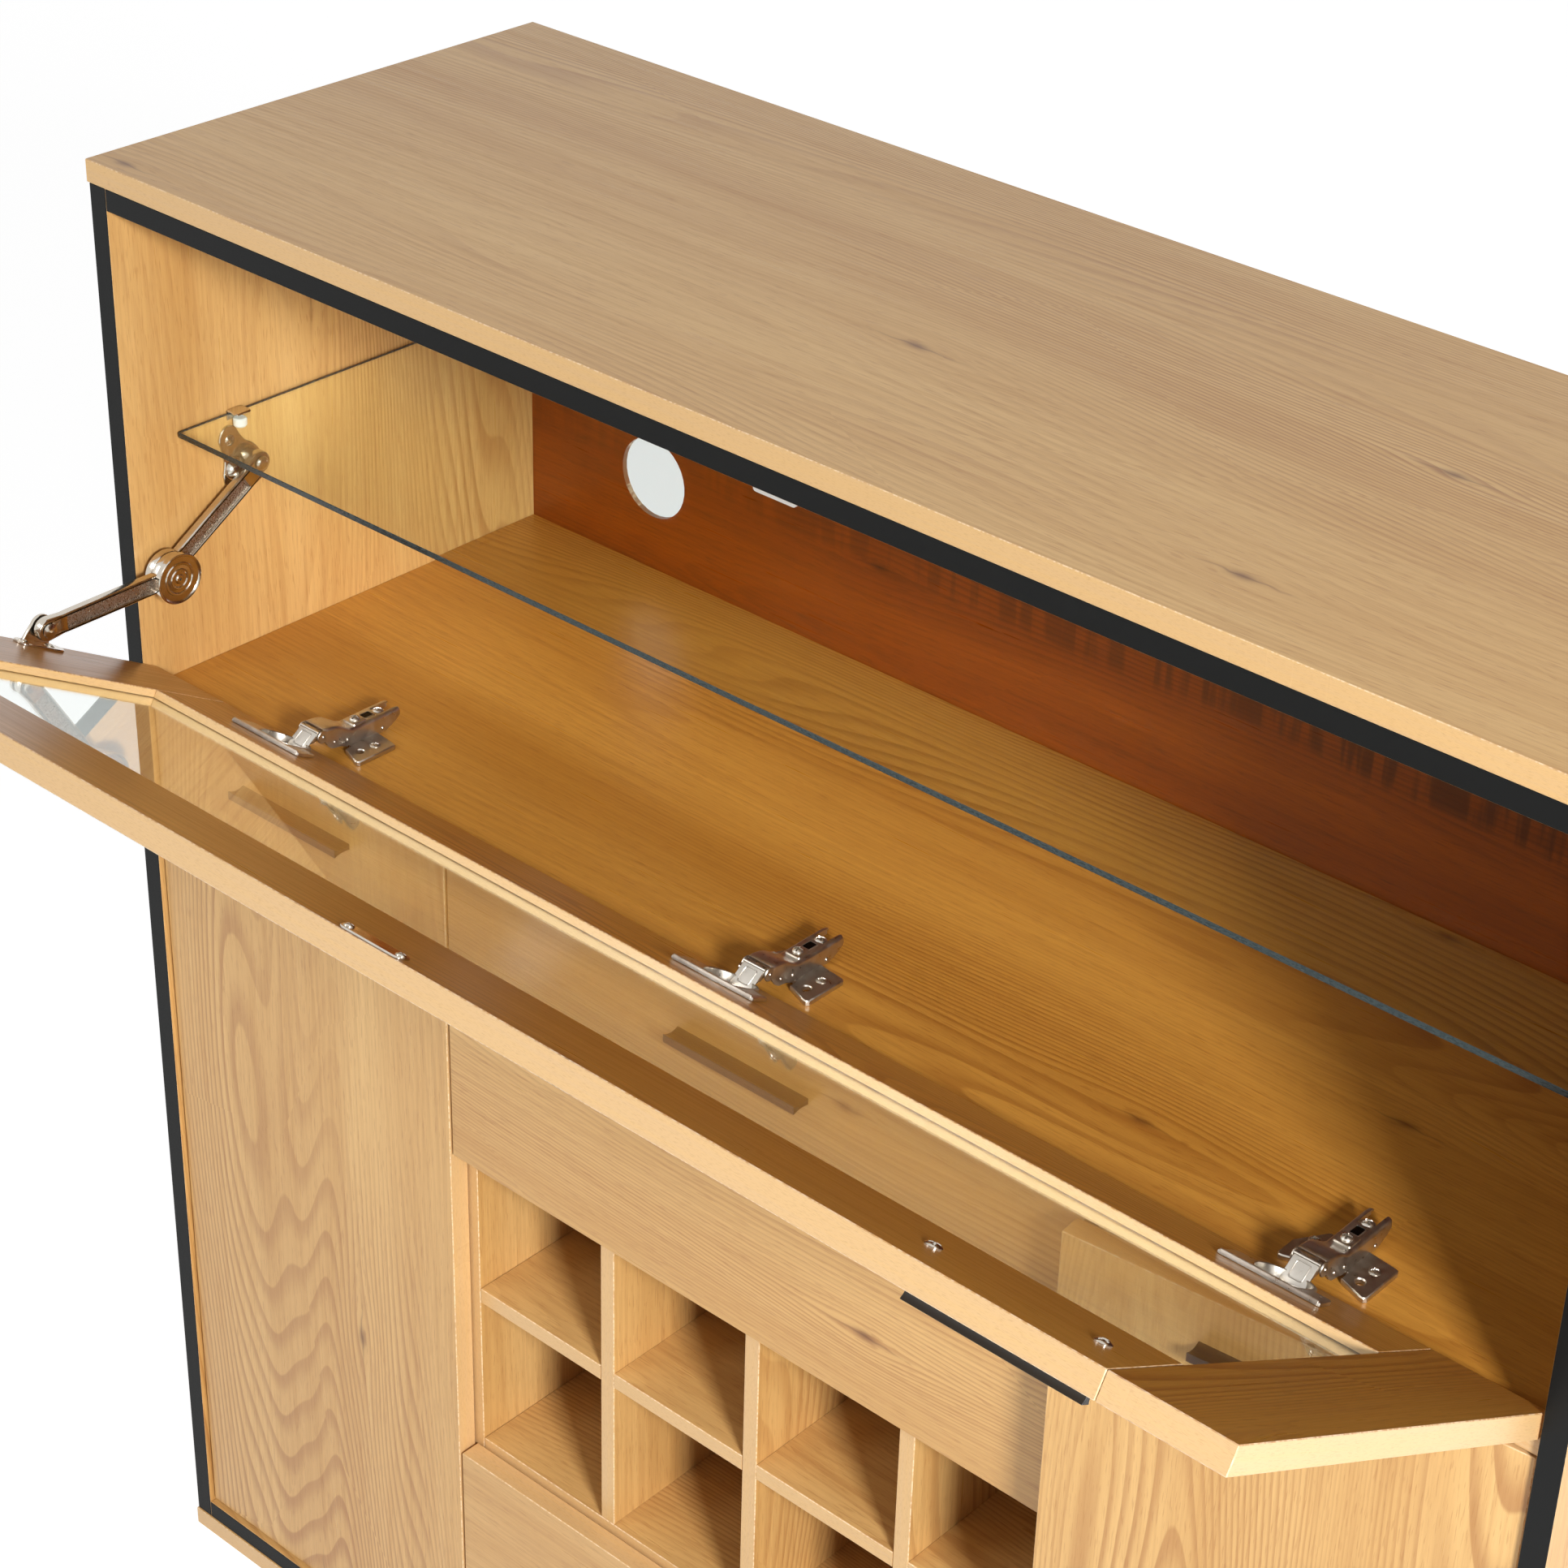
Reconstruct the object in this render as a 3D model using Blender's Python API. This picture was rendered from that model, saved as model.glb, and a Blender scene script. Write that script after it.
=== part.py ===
"""Wine cabinet with a glazed drop-down flap, two doors, two drawers and a bottle rack.

Metres, +Z up, +X to the cabinet's right as seen from the front, front towards -Y.
The origin lies on the floor under the middle of the carcass. Every piece is drawn where
it lies with all doors, drawers and the flap shut; its body's empty, which stands on the
joint's axis, then turns it to the resting pose: flap down on its stay, right door ajar.
"""
import math

import bmesh
import bpy
from mathutils import Matrix, Vector

for item in list(bpy.data.objects):
    bpy.data.objects.remove(item, do_unlink=True)

# Carcass
cabinet_width = 1.100
cabinet_depth = 0.378
side_height = 1.081
board = 0.015
inner_board = 0.012
overhang = 0.001
rail_depth = 0.080
back_thickness = 0.004
back_position = 0.3574
back_groove = 0.005
bay_height = 0.334
deck_recess = 0.004
cable_hole_radius = 0.030
cable_hole_from_side = 0.1356
cable_hole_above_deck = 0.070

# Clearances and edges
fit = 0.0003
arris = 0.0005
forward_share = 0.9
overrun = 0.002
side_gap = 0.002
front_gap = 0.0025
under_deck_gap = 0.0015
over_floor_gap = 0.003

# Doors and drawers
front_recess = 0.0035
door_width = 0.280
upper_front_height = 0.2248
lower_front_height = 0.2196
door_axis_from_edge = 0.003
door_axis_from_face = 0.0015
door_hinge_from_end = 0.090
right_door_ajar = math.radians(5.2)
box_length = 0.320
box_height = 0.160
box_side_clearance = 0.001
box_lift = 0.005
box_floor_rise = 0.008
box_floor = 0.006
strip_projection = 0.0065
strip_height = 0.018
strip_length = 0.300
strip_setback = 0.030
strip_rise = 0.070
groove_depth = 0.006

# Bottle rack and loose shelves
rack_setback = 0.020
rack_floor_show = 0.0065
rack_top_hide = 0.0013
rack_columns = 4
cupboard_shelf_rise = 0.350
cupboard_shelf_setback = 0.110

# Flap
flap_open = math.radians(60.0)
flap_height = 0.330
flap_end_gap = 0.0017
flap_lift = 0.002
stile_width = 0.0687
free_rail_width = 0.0681
hinge_rail_width = 0.0617
pane_thickness = 0.004
pane_bite = 0.006
flap_axis_from_face = 0.0019
flap_axis_below_edge = 0.0019

# Finger pulls
pull_length = 0.104
pull_drop = 0.0315
pull_reach = 0.0127
pull_root_height = 0.0046
pull_lip_height = 0.0062
pull_top_hollow = 0.0020
pull_under_hollow = 0.0012
pull_from_flap_end = 0.1393

# Concealed hinges
flap_hinge_from_end = 0.1482
cup_radius = 0.0175
cup_depth = 0.0115
cup_wall = 0.0015
cup_from_edge = 0.0215
cup_rim_radius = 0.0190
flange_length = 0.064
flange_thickness = 0.0012
flange_start = 0.0205
flange_end = 0.0380
arm_half_width = 0.008
arm_height = 0.017
arm_length = 0.0635
arm_underside = 0.004
arm_nose_length = 0.012
arm_nose_low = 0.0105
arm_nose_high = 0.0240
arm_slope_length = 0.009
arm_standoff = 0.0019
wing_half_width = 0.028
wing_thickness = 0.0028
wing_front = 0.0095
wing_length = 0.0355
wing_chamfer = 0.008

# Glass shelf in the bay
glass_thickness = 0.004
glass_setback = 0.040
glass_end_gap = 0.002
glass_above_stay = 0.037
clip_width = 0.013
clip_reach = 0.011
clip_plate = 0.0012
clip_pad = 0.008
clip_inset = 0.048

# Magnetic catch
catch_width = 0.031
catch_depth = 0.030
catch_height = 0.0152
catch_ears = 0.048
catch_ear_thickness = 0.0025
catch_gap = 0.0005
strike_width = 0.046
strike_height = 0.012
strike_thickness = 0.001
strike_drop = 0.007

# Folding stay, measured from the side panel's inner face, the front plane and the deck
stay_wall_pivot_depth = 0.099
stay_wall_pivot_rise = 0.132
stay_flap_pivot_rise = 0.115
stay_flap_pivot_reach = 0.013
upper_arm_length = 0.095
lower_arm_length = 0.101
stay_layer = 0.006
stay_first_layer = 0.006
stay_end_radius = 0.008
stay_elbow_radius = 0.013
stay_arm_half_width = 0.0068
stay_disc_radius = 0.0175
stay_disc_thickness = 0.005
stay_recess_depth = 0.002
stay_recess_half_width = 0.0046
stay_pin_radius = 0.003
stay_pin_head_radius = 0.005
stay_pin_head = 0.0015
wall_plate_thickness = 0.0016
wall_plate_share = 0.27
wall_boss_radius = 0.007
lug_thickness = 0.003
lug_half_base = 0.011
flap_plate_length = 0.038
flap_plate_width = 0.014
flap_plate_thickness = 0.0015
flap_plate_shift = 0.003

# Places worked out from the sizes above
half_width = cabinet_width / 2
front = -cabinet_depth / 2
rear = cabinet_depth / 2
inner_half = half_width - board
side_low = board
side_high = board + side_height
floor_top = 2 * board
rail_under = side_high - board
deck_top = rail_under - bay_height
deck_under = deck_top - inner_board
back_front = front + back_position
back_rear = back_front + back_thickness
face = front + front_recess
face_back = face + board
door_low = floor_top + over_floor_gap
door_high = deck_under - under_deck_gap
door_outer = inner_half - side_gap
door_inner = door_outer - door_width
drawer_half = door_inner - front_gap
partition_middle = door_inner - front_gap / 2
partition_in = partition_middle - inner_board / 2
partition_out = partition_middle + inner_board / 2
upper_front_low = door_high - upper_front_height
lower_front_high = door_low + lower_front_height
rack_floor_top = lower_front_high + rack_floor_show
rack_top_under = upper_front_low + rack_top_hide
rack_front = front + rack_setback
rack_shelf_middle = (rack_floor_top + rack_top_under) / 2
flap_low = deck_top + flap_lift
flap_high = flap_low + flap_height
flap_half = inner_half - flap_end_gap
window_half = flap_half - stile_width
window_low = flap_low + hinge_rail_width
window_high = flap_high - free_rail_width
pane_middle = face + board / 2
glass_low = deck_top + stay_wall_pivot_rise + glass_above_stay
glass_top = glass_low + glass_thickness
glass_front = front + glass_setback


def make_material(name, colour, roughness, metallic=0.0, alpha=1.0):
    """A plain Principled material."""
    material = bpy.data.materials.new(name)
    material.use_nodes = True
    shader = material.node_tree.nodes["Principled BSDF"]
    shader.inputs["Base Color"].default_value = (*colour, 1.0)
    shader.inputs["Roughness"].default_value = roughness
    shader.inputs["Metallic"].default_value = metallic
    shader.inputs["Alpha"].default_value = alpha
    material.diffuse_color = (*colour, alpha)
    return material


oak = make_material("oak", (0.74, 0.47, 0.22), 0.42)
dark_wood = make_material("dark_wood", (0.25, 0.09, 0.02), 0.5)
black_edge = make_material("black_edge", (0.03, 0.03, 0.03), 0.6)
black_pull = make_material("black_pull", (0.03, 0.025, 0.02), 0.35)
nickel = make_material("nickel", (0.62, 0.58, 0.52), 0.22, 1.0)
white_plastic = make_material("white_plastic", (0.85, 0.85, 0.85), 0.45)
clear_glass = make_material("clear_glass", (0.80, 0.90, 0.88), 0.05, 0.0, 0.3)


class Body:
    """Pieces that move as one. Its empty stands on the joint's axis."""

    def __init__(self, name, pivot=(0.0, 0.0, 0.0), turn=(0.0, 0.0, 0.0), parent=None):
        self.pivot = Vector(pivot)
        self.empty = bpy.data.objects.new(name, None)
        bpy.context.scene.collection.objects.link(self.empty)
        self.empty.location = self.pivot - (parent.pivot if parent else Vector())
        self.empty.rotation_euler = turn
        if parent:
            self.empty.parent = parent.empty


def add_mesh(name, mesh, body, material):
    """Link a mesh as an object, drawn about its body's joint."""
    mesh.transform(Matrix.Translation(-body.pivot))
    piece = bpy.data.objects.new(name, mesh)
    bpy.context.scene.collection.objects.link(piece)
    piece.parent = body.empty
    if material:
        mesh.materials.append(material)
    return piece


def prism_mesh(name, outline, low, high, axis):
    """An outline in the two other axes, in X, Y, Z order, extruded along axis."""
    def corner(point, level):
        values = list(point)
        values.insert("XYZ".index(axis), level)
        return values

    bm = bmesh.new()
    bottom = [bm.verts.new(corner(point, low)) for point in outline]
    top = [bm.verts.new(corner(point, high)) for point in outline]
    bm.faces.new(bottom)
    bm.faces.new(top)
    for i in range(len(outline)):
        j = (i + 1) % len(outline)
        bm.faces.new((bottom[i], bottom[j], top[j], top[i]))
    bmesh.ops.recalc_face_normals(bm, faces=bm.faces)
    mesh = bpy.data.meshes.new(name)
    bm.to_mesh(mesh)
    bm.free()
    return mesh


def soften(piece, width=arris):
    """Break the sharp edges of a piece."""
    bevel = piece.modifiers.new("arris", "BEVEL")
    bevel.width = width
    bevel.segments = 1
    bevel.limit_method = "ANGLE"
    return piece


def prism(name, outline, span, axis, body, material=None):
    """A piece extruded from an outline."""
    return add_mesh(name, prism_mesh(name, outline, min(span), max(span), axis), body, material)


def box(name, low, high, body, material=None):
    """A square-edged block between two corners."""
    xs, ys, zs = [sorted(pair) for pair in zip(low, high)]
    outline = [(xs[0], ys[0]), (xs[1], ys[0]), (xs[1], ys[1]), (xs[0], ys[1])]
    return prism(name, outline, zs, "Z", body, material)


def panel(name, low, high, body, material=oak):
    """A board with softened arrises."""
    return soften(box(name, low, high, body, material))


def circle(centre, radius, steps=32):
    """Points round a circle."""
    turns = [2 * math.pi * (i + 0.5) / steps for i in range(steps)]
    return [(centre[0] + radius * math.cos(t), centre[1] + radius * math.sin(t)) for t in turns]


def capsule(start, start_radius, end, end_radius, steps=12):
    """An outline that wraps two circles, as on a link with round ends."""
    direction = math.atan2(end[1] - start[1], end[0] - start[0])
    points = []
    for centre, radius, first in ((start, start_radius, direction + math.pi / 2),
                                  (end, end_radius, direction - math.pi / 2)):
        for i in range(steps + 1):
            t = first + math.pi * i / steps
            points.append((centre[0] + radius * math.cos(t), centre[1] + radius * math.sin(t)))
    return points


def combine(piece, tool, operation):
    """Cut a tool from a piece, or join it on. The tool itself isn't part of the model."""
    tool.hide_render = True
    tool.display_type = "WIRE"
    step = piece.modifiers.new(operation.lower(), "BOOLEAN")
    step.operation = operation
    step.object = tool
    step.solver = "EXACT"
    return piece


def cut(piece, tool):
    return combine(piece, tool, "DIFFERENCE")


def unite(piece, tool):
    return combine(piece, tool, "UNION")


def rounded(piece):
    """Shade the round faces smooth and keep the corners sharp."""
    piece.data.shade_smooth()
    piece.data.set_sharp_from_angle(angle=math.radians(35))
    return piece


# Bodies, with the resting turn of each joint
cabinet = Body("cabinet")
flap_pivot = (0.0, face + flap_axis_from_face, flap_low - flap_axis_below_edge)
flap = Body("flap_joint", flap_pivot, (flap_open, 0.0, 0.0), cabinet)
door_axis_x = door_outer - door_axis_from_edge
door_axis_y = face + door_axis_from_face
left_door = Body("left_door_joint", (-door_axis_x, door_axis_y, door_low), parent=cabinet)
right_door = Body("right_door_joint", (door_axis_x, door_axis_y, door_low),
                  (0.0, 0.0, right_door_ajar), cabinet)
upper_drawer = Body("upper_drawer_joint", (0.0, face, upper_front_low), parent=cabinet)
lower_drawer = Body("lower_drawer_joint", (0.0, face, door_low), parent=cabinet)


def back_groove_tool(name):
    """The groove that holds the back panel, all round the carcass."""
    reach = back_groove + fit
    return box(name, (-inner_half - reach, back_front - fit, board - reach),
               (inner_half + reach, back_rear + fit, side_high + reach), cabinet)


def build_carcass():
    """Outer boards, with black front edges between the wooden top and bottom."""
    over = half_width + overhang
    for name, low, high in (("bottom_panel", 0.0, board),
                            ("top_panel", side_high, side_high + board)):
        piece = panel(name, (-over, front - overhang, low), (over, rear, high), cabinet)
        cut(piece, back_groove_tool(name + "_groove"))
    for name, side in (("left_side_panel", -1), ("right_side_panel", 1)):
        piece = panel(name, (side * half_width, front, side_low + fit),
                      (side * inner_half, rear, side_high - fit), cabinet)
        blacken_front(piece)
        cut(piece, back_groove_tool(name + "_groove"))
    inner = inner_half - fit
    rail = panel("top_front_rail", (-inner, front, rail_under),
                 (inner, front + rail_depth, side_high - fit), cabinet)
    blacken_front(rail)
    floor = panel("floor_panel", (-inner, front, board + fit),
                  (inner, back_front - 2 * fit, floor_top), cabinet)
    blacken_front(floor)
    panel("deck", (-inner, front + deck_recess, deck_under),
          (inner, back_front - 2 * fit, deck_top), cabinet)


def blacken_front(piece):
    """Give the faces that look forward the black edge."""
    piece.data.materials.append(black_edge)
    for polygon in piece.data.polygons:
        if polygon.normal.y < -forward_share:
            polygon.material_index = 1


def build_back():
    """The back panel stands in the groove, with a hole for a cable in the bay."""
    reach = back_groove
    back = box("back_panel", (-inner_half - reach, back_front, board - reach),
               (inner_half + reach, back_rear, side_high + reach), cabinet, dark_wood)
    centre = (-half_width + cable_hole_from_side, deck_top + cable_hole_above_deck)
    hole = prism("cable_hole_tool", circle(centre, cable_hole_radius),
                 (back_front - overrun, back_rear + overrun), "Y", cabinet)
    cut(back, hole)


def strip_tool(name, side, low):
    """A runner strip on the rack's side of a partition."""
    middle = low + strip_rise
    start = front + rack_setback + strip_setback
    return box(name, (side * (partition_in - strip_projection), start, middle - strip_height / 2),
               (side * (partition_in + overrun), start + strip_length,
                middle + strip_height / 2), cabinet)


upper_box_low = rack_top_under + inner_board + box_lift
lower_box_low = floor_top + box_lift


def build_partitions():
    """Uprights beside the rack, with the glued strips that carry the drawers."""
    for name, side in (("left_partition", -1), ("right_partition", 1)):
        piece = panel(name, (side * partition_in, rack_front, floor_top + fit),
                      (side * partition_out, back_front - 2 * fit, deck_under - fit), cabinet)
        unite(piece, strip_tool(name + "_upper_strip", side, upper_box_low))
        unite(piece, strip_tool(name + "_lower_strip", side, lower_box_low))


def build_rack():
    """Floor, top, one shelf and the uprights that cross it in halved slots."""
    half = partition_in - fit
    back = back_front - 2 * fit
    middle = (rack_front + back) / 2
    panel("rack_floor_panel", (-half, rack_front, rack_floor_top - inner_board),
          (half, back, rack_floor_top), cabinet)
    panel("rack_top_panel", (-half, rack_front, rack_top_under),
          (half, back, rack_top_under + inner_board), cabinet)
    shelf_low = rack_shelf_middle - inner_board / 2
    shelf_high = rack_shelf_middle + inner_board / 2
    shelf = panel("rack_shelf", (-half, rack_front, shelf_low), (half, back, shelf_high), cabinet)
    cell = (2 * partition_in - (rack_columns - 1) * inner_board) / rack_columns
    for i in range(1, rack_columns):
        left = -partition_in + i * cell + (i - 1) * inner_board
        right = left + inner_board
        divider = panel(f"rack_divider_{i}", (left, rack_front, rack_floor_top + fit),
                        (right, back, rack_top_under - fit), cabinet)
        cut(divider, box(f"divider_slot_{i}", (left - overrun, middle, shelf_low - fit),
                         (right + overrun, back + overrun, shelf_high + fit), cabinet))
        cut(shelf, box(f"shelf_slot_{i}", (left - fit, rack_front - overrun, shelf_low - overrun),
                       (right + fit, middle + fit, shelf_high + overrun), cabinet))


def build_cupboard_shelves():
    """One loose shelf in each cupboard."""
    low = floor_top + cupboard_shelf_rise
    for name, side in (("left_cupboard_shelf", -1), ("right_cupboard_shelf", 1)):
        panel(name, (side * (partition_out + fit), front + cupboard_shelf_setback, low),
              (side * (inner_half - fit), back_front - 2 * fit, low + board), cabinet)


def build_glass_shelf():
    """A loose pane in four clips on the side panels."""
    half = inner_half - glass_end_gap
    back = back_front - glass_end_gap
    soften(box("glass_shelf", (-half, glass_front, glass_low), (half, back, glass_top),
               cabinet, clear_glass))
    names = iter(("glass_clip_left_front", "glass_clip_left_rear",
                  "glass_clip_right_front", "glass_clip_right_rear"))
    for side in (-1, 1):
        for depth in (glass_front + clip_inset, back - clip_inset):
            wall = inner_half - fit
            inside = wall - clip_plate
            tip = wall - clip_reach
            outline = [(wall, glass_low - fit - clip_pad), (tip, glass_low - fit - clip_pad / 2),
                       (tip, glass_low - fit), (inside, glass_low - fit),
                       (inside, glass_top + fit), (tip, glass_top + fit),
                       (tip, glass_top + fit + clip_plate), (wall, glass_top + fit + clip_plate)]
            prism(next(names), [(side * x, z) for x, z in outline],
                  (depth - clip_width / 2, depth + clip_width / 2), "Y", cabinet, nickel)


def build_catch():
    """A magnetic catch under the rail and the strike plate that meets it."""
    start = face_back + fit + strike_thickness + catch_gap
    top = rail_under - fit
    catch = box("magnetic_catch", (-catch_width / 2, start, top - catch_height),
                (catch_width / 2, start + catch_depth, top), cabinet, white_plastic)
    ears = box("catch_ears", (-catch_ears / 2, start + catch_depth / 2, top - catch_ear_thickness),
               (catch_ears / 2, start + catch_depth + overrun, top), cabinet)
    unite(catch, ears)
    middle = flap_high - strike_drop
    box("strike_plate", (-strike_width / 2, face_back + fit, middle - strike_height / 2),
        (strike_width / 2, face_back + fit + strike_thickness, middle + strike_height / 2),
        flap, nickel)


def pull_outline(height):
    """Section of a finger pull: a slim root, hollow faces and a forward lip."""
    root = face - fit
    lip = root - pull_reach
    steps = 6
    points = []
    for i in range(steps + 1):
        t = i / steps
        chord = pull_root_height / 2 + t * (pull_lip_height - pull_root_height) / 2
        points.append((root + t * (lip - root), height + chord - pull_top_hollow * 4 * t * (1 - t)))
    for i in range(steps + 1):
        t = 1 - i / steps
        chord = pull_root_height / 2 + t * (pull_lip_height - pull_root_height) / 2
        points.append((root + t * (lip - root),
                       height - chord + pull_under_hollow * 4 * t * (1 - t)))
    return points


def finger_pull(name, middle, top, body):
    """A pull of extruded metal across a front, below its top edge."""
    outline = pull_outline(top - pull_drop)
    return prism(name, outline, (middle - pull_length / 2, middle + pull_length / 2), "X",
                 body, black_pull)


def hinge_cup(name, board_piece, centre, inward, body):
    """A cup with its screwed flange, let into the back of a board.

    centre is in (X, Z); inward is the unit step from the board's hinge edge to the cup.
    """
    cut(board_piece, prism(name + "_bore", circle(centre, cup_radius + fit),
                           (face_back - cup_depth - fit, face_back + overrun), "Y", body))
    seat = face_back + fit
    cup = prism(name, circle(centre, cup_radius), (face_back - cup_depth, seat + flange_thickness),
                "Y", body, nickel)
    rim = prism(name + "_rim", circle(centre, cup_rim_radius),
                (seat, seat + flange_thickness - arris / 2), "Y", body)
    near = [centre[i] + inward[i] * (flange_start - cup_from_edge)
            - abs(inward[1 - i]) * flange_length / 2 for i in (0, 1)]
    far = [centre[i] + inward[i] * (flange_end - cup_from_edge)
           + abs(inward[1 - i]) * flange_length / 2 for i in (0, 1)]
    flange = box(name + "_flange", (near[0], seat, near[1]),
                 (far[0], seat + flange_thickness - arris, far[1]), body)
    unite(cup, rim)
    unite(cup, flange)
    cut(cup, prism(name + "_pocket", circle(centre, cup_radius - cup_wall),
                   (face_back - cup_depth + cup_wall, seat + flange_thickness + overrun),
                   "Y", body))
    return rounded(cup)


def build_doors():
    """Two inset doors, each with a pull below its top edge. Gives back both boards."""
    middle = (door_outer + door_inner) / 2
    doors = []
    for name, side, body in (("left_door", -1, left_door), ("right_door", 1, right_door)):
        doors.append(panel(name, (side * door_outer, face, door_low),
                           (side * door_inner, face_back, door_high), body))
        finger_pull(name + "_pull", side * middle, door_high, body)
    return doors


def drawer(name, body, low, high, box_low):
    """A drawer front, the box behind it and its pull."""
    panel(name + "_front", (-drawer_half, face, low), (drawer_half, face_back, high), body)
    finger_pull(name + "_pull", 0.0, high, body)
    half = partition_in - box_side_clearance
    start = face_back + fit
    end = start + box_length
    tray = box(name + "_box", (-half, start, box_low), (half, end, box_low + box_height), body, oak)
    inside = half - inner_board
    cut(tray, box(name + "_hollow", (-inside, start + inner_board, box_low + box_floor_rise + box_floor),
                  (inside, end - inner_board, box_low + box_height + overrun), body))
    cut(tray, box(name + "_underside", (-inside, start + inner_board, box_low - overrun),
                  (inside, end - inner_board, box_low + box_floor_rise), body))
    groove_half = strip_height / 2 + fit
    middle = box_low + strip_rise
    for side in (-1, 1):
        cut(tray, box(f"{name}_groove_{side}",
                      (side * (half - groove_depth), start + strip_setback / 2, middle - groove_half),
                      (side * (half + overrun), end + overrun, middle + groove_half), body))


def build_flap():
    """A frame of four members with a pane held in their grooves."""
    stile_in = window_half + fit
    rail_half = window_half
    frame = [panel("flap_left_stile", (-flap_half, face, flap_low), (-stile_in, face_back, flap_high),
                   flap),
             panel("flap_right_stile", (stile_in, face, flap_low), (flap_half, face_back, flap_high),
                   flap),
             panel("flap_hinge_rail", (-rail_half, face, flap_low), (rail_half, face_back, window_low),
                   flap),
             panel("flap_free_rail", (-rail_half, face, window_high), (rail_half, face_back, flap_high),
                   flap)]
    bite = pane_bite + fit
    groove_half = pane_thickness / 2 + fit
    for piece in frame:
        cut(piece, box(piece.name + "_groove",
                       (-window_half - bite, pane_middle - groove_half, window_low - bite),
                       (window_half + bite, pane_middle + groove_half, window_high + bite), flap))
    box("flap_glass", (-window_half - pane_bite, pane_middle - pane_thickness / 2,
                       window_low - pane_bite),
        (window_half + pane_bite, pane_middle + pane_thickness / 2, window_high + pane_bite),
        flap, clear_glass)
    for name, side in (("flap_pull_left", -1), ("flap_pull_right", 1)):
        finger_pull(name, side * (flap_half - pull_from_flap_end), flap_high, flap)
    return frame[2]


def hinge_arm(name, middle, place):
    """Arm and winged plate of a concealed hinge. place maps (across, back, up) to the body."""
    tip = board + front_recess + arm_standoff
    nose = tip + arm_nose_length
    slope = nose + arm_slope_length
    end = tip + arm_length
    outline = [(tip, arm_nose_low), (nose, arm_nose_low), (slope, arm_underside),
               (end, arm_underside), (end, arm_height), (slope, arm_height),
               (nose, arm_nose_high), (tip, arm_nose_high)]
    arm = prism(name, outline, (-arm_half_width, arm_half_width), "X", cabinet, nickel)
    start = tip + wing_front
    stop = start + wing_length
    wings = prism(name + "_wings",
                  [(-wing_half_width, start + wing_chamfer), (-wing_half_width + wing_chamfer, start),
                   (wing_half_width - wing_chamfer, start), (wing_half_width, start + wing_chamfer),
                   (wing_half_width, stop), (-wing_half_width, stop)],
                  (fit, wing_thickness), "Z", cabinet)
    pedestal = box(name + "_pedestal", (-arm_half_width + arris, start + wing_chamfer, wing_thickness / 2),
                   (arm_half_width - arris, stop, arm_underside + overrun), cabinet)
    for item in (arm, wings, pedestal):
        item.data.transform(place @ Matrix.Translation((middle, 0.0, 0.0)))
        if place.determinant() < 0:
            item.data.flip_normals()
    unite(arm, pedestal)
    return unite(arm, wings)


def build_flap_hinges(rail):
    """Three hinges: a cup in the rail and an arm on the deck for each."""
    on_deck = Matrix.Translation((0.0, front, deck_top))
    outer = flap_half - flap_hinge_from_end
    for i, middle in enumerate((-outer, 0.0, outer), start=1):
        hinge_arm(f"flap_hinge_arm_{i}", middle, on_deck)
        hinge_cup(f"flap_hinge_cup_{i}", rail, (middle, flap_low + cup_from_edge), (0, 1), flap)


def build_door_hinges(doors):
    """Two hinges for each door: a cup in the door and an arm on the side panel for each."""
    for (side_name, side, body), door in zip((("left", -1, left_door), ("right", 1, right_door)),
                                             doors):
        on_side = Matrix(((0.0, 0.0, -side, side * inner_half), (0.0, 1.0, 0.0, front),
                          (1.0, 0.0, 0.0, 0.0), (0.0, 0.0, 0.0, 1.0)))
        for level_name, level in (("upper", door_high - door_hinge_from_end),
                                  ("lower", door_low + door_hinge_from_end)):
            hinge_arm(f"{side_name}_door_hinge_{level_name}", level, on_side)
            hinge_cup(f"{side_name}_door_cup_{level_name}", door,
                      (side * (door_outer - cup_from_edge), level), (-side, 0), body)


def elbow_of(wall, reach):
    """Where the two arms meet, below the line between their pivots, in (Y, Z)."""
    gap = reach - wall
    distance = gap.length
    along = (upper_arm_length ** 2 - lower_arm_length ** 2 + distance ** 2) / (2 * distance)
    across = math.sqrt(upper_arm_length ** 2 - along ** 2)
    unit = gap / distance
    normal = Vector((-unit.y, unit.x))
    if normal.y > 0:
        normal = -normal
    return wall + along * unit + across * normal


def heading(vector):
    """Angle of a (Y, Z) vector about X."""
    return math.atan2(vector.y, vector.x)


def link(name, span, side, length, first_radius, last_radius, body, recess_open):
    """A stay arm that lies along its body's local Y axis, hollowed on the side that shows."""
    xs = [side * value for value in span]
    steps = 12
    arm = prism(name, capsule((0.0, 0.0), first_radius, (length, 0.0), last_radius, steps),
                xs, "X", body, nickel)
    start = first_radius + stay_recess_half_width
    stop = length - last_radius - stay_recess_half_width
    hollow = capsule((start, 0.0), stay_recess_half_width, (stop, 0.0), stay_recess_half_width, steps)
    return cut(arm, prism(name + "_recess", hollow,
                          (side * (recess_open - overrun), side * (recess_open + stay_recess_depth)),
                          "X", body))


def trim_link(arm, name, side, span, length, first_radius, last_radius, body):
    """Narrow the arm between its round ends."""
    for edge in (-1, 1):
        low = stay_arm_half_width
        high = max(first_radius, last_radius) + overrun
        start = first_radius
        stop = length - last_radius
        outline = [(start, edge * (first_radius + overrun)), (stop, edge * high),
                   (stop, edge * low), (start, edge * low)]
        xs = [side * (span[0] - overrun), side * (span[1] + overrun)]
        cut(arm, prism(f"{name}_trim_{edge}", outline, xs, "X", body))


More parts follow.
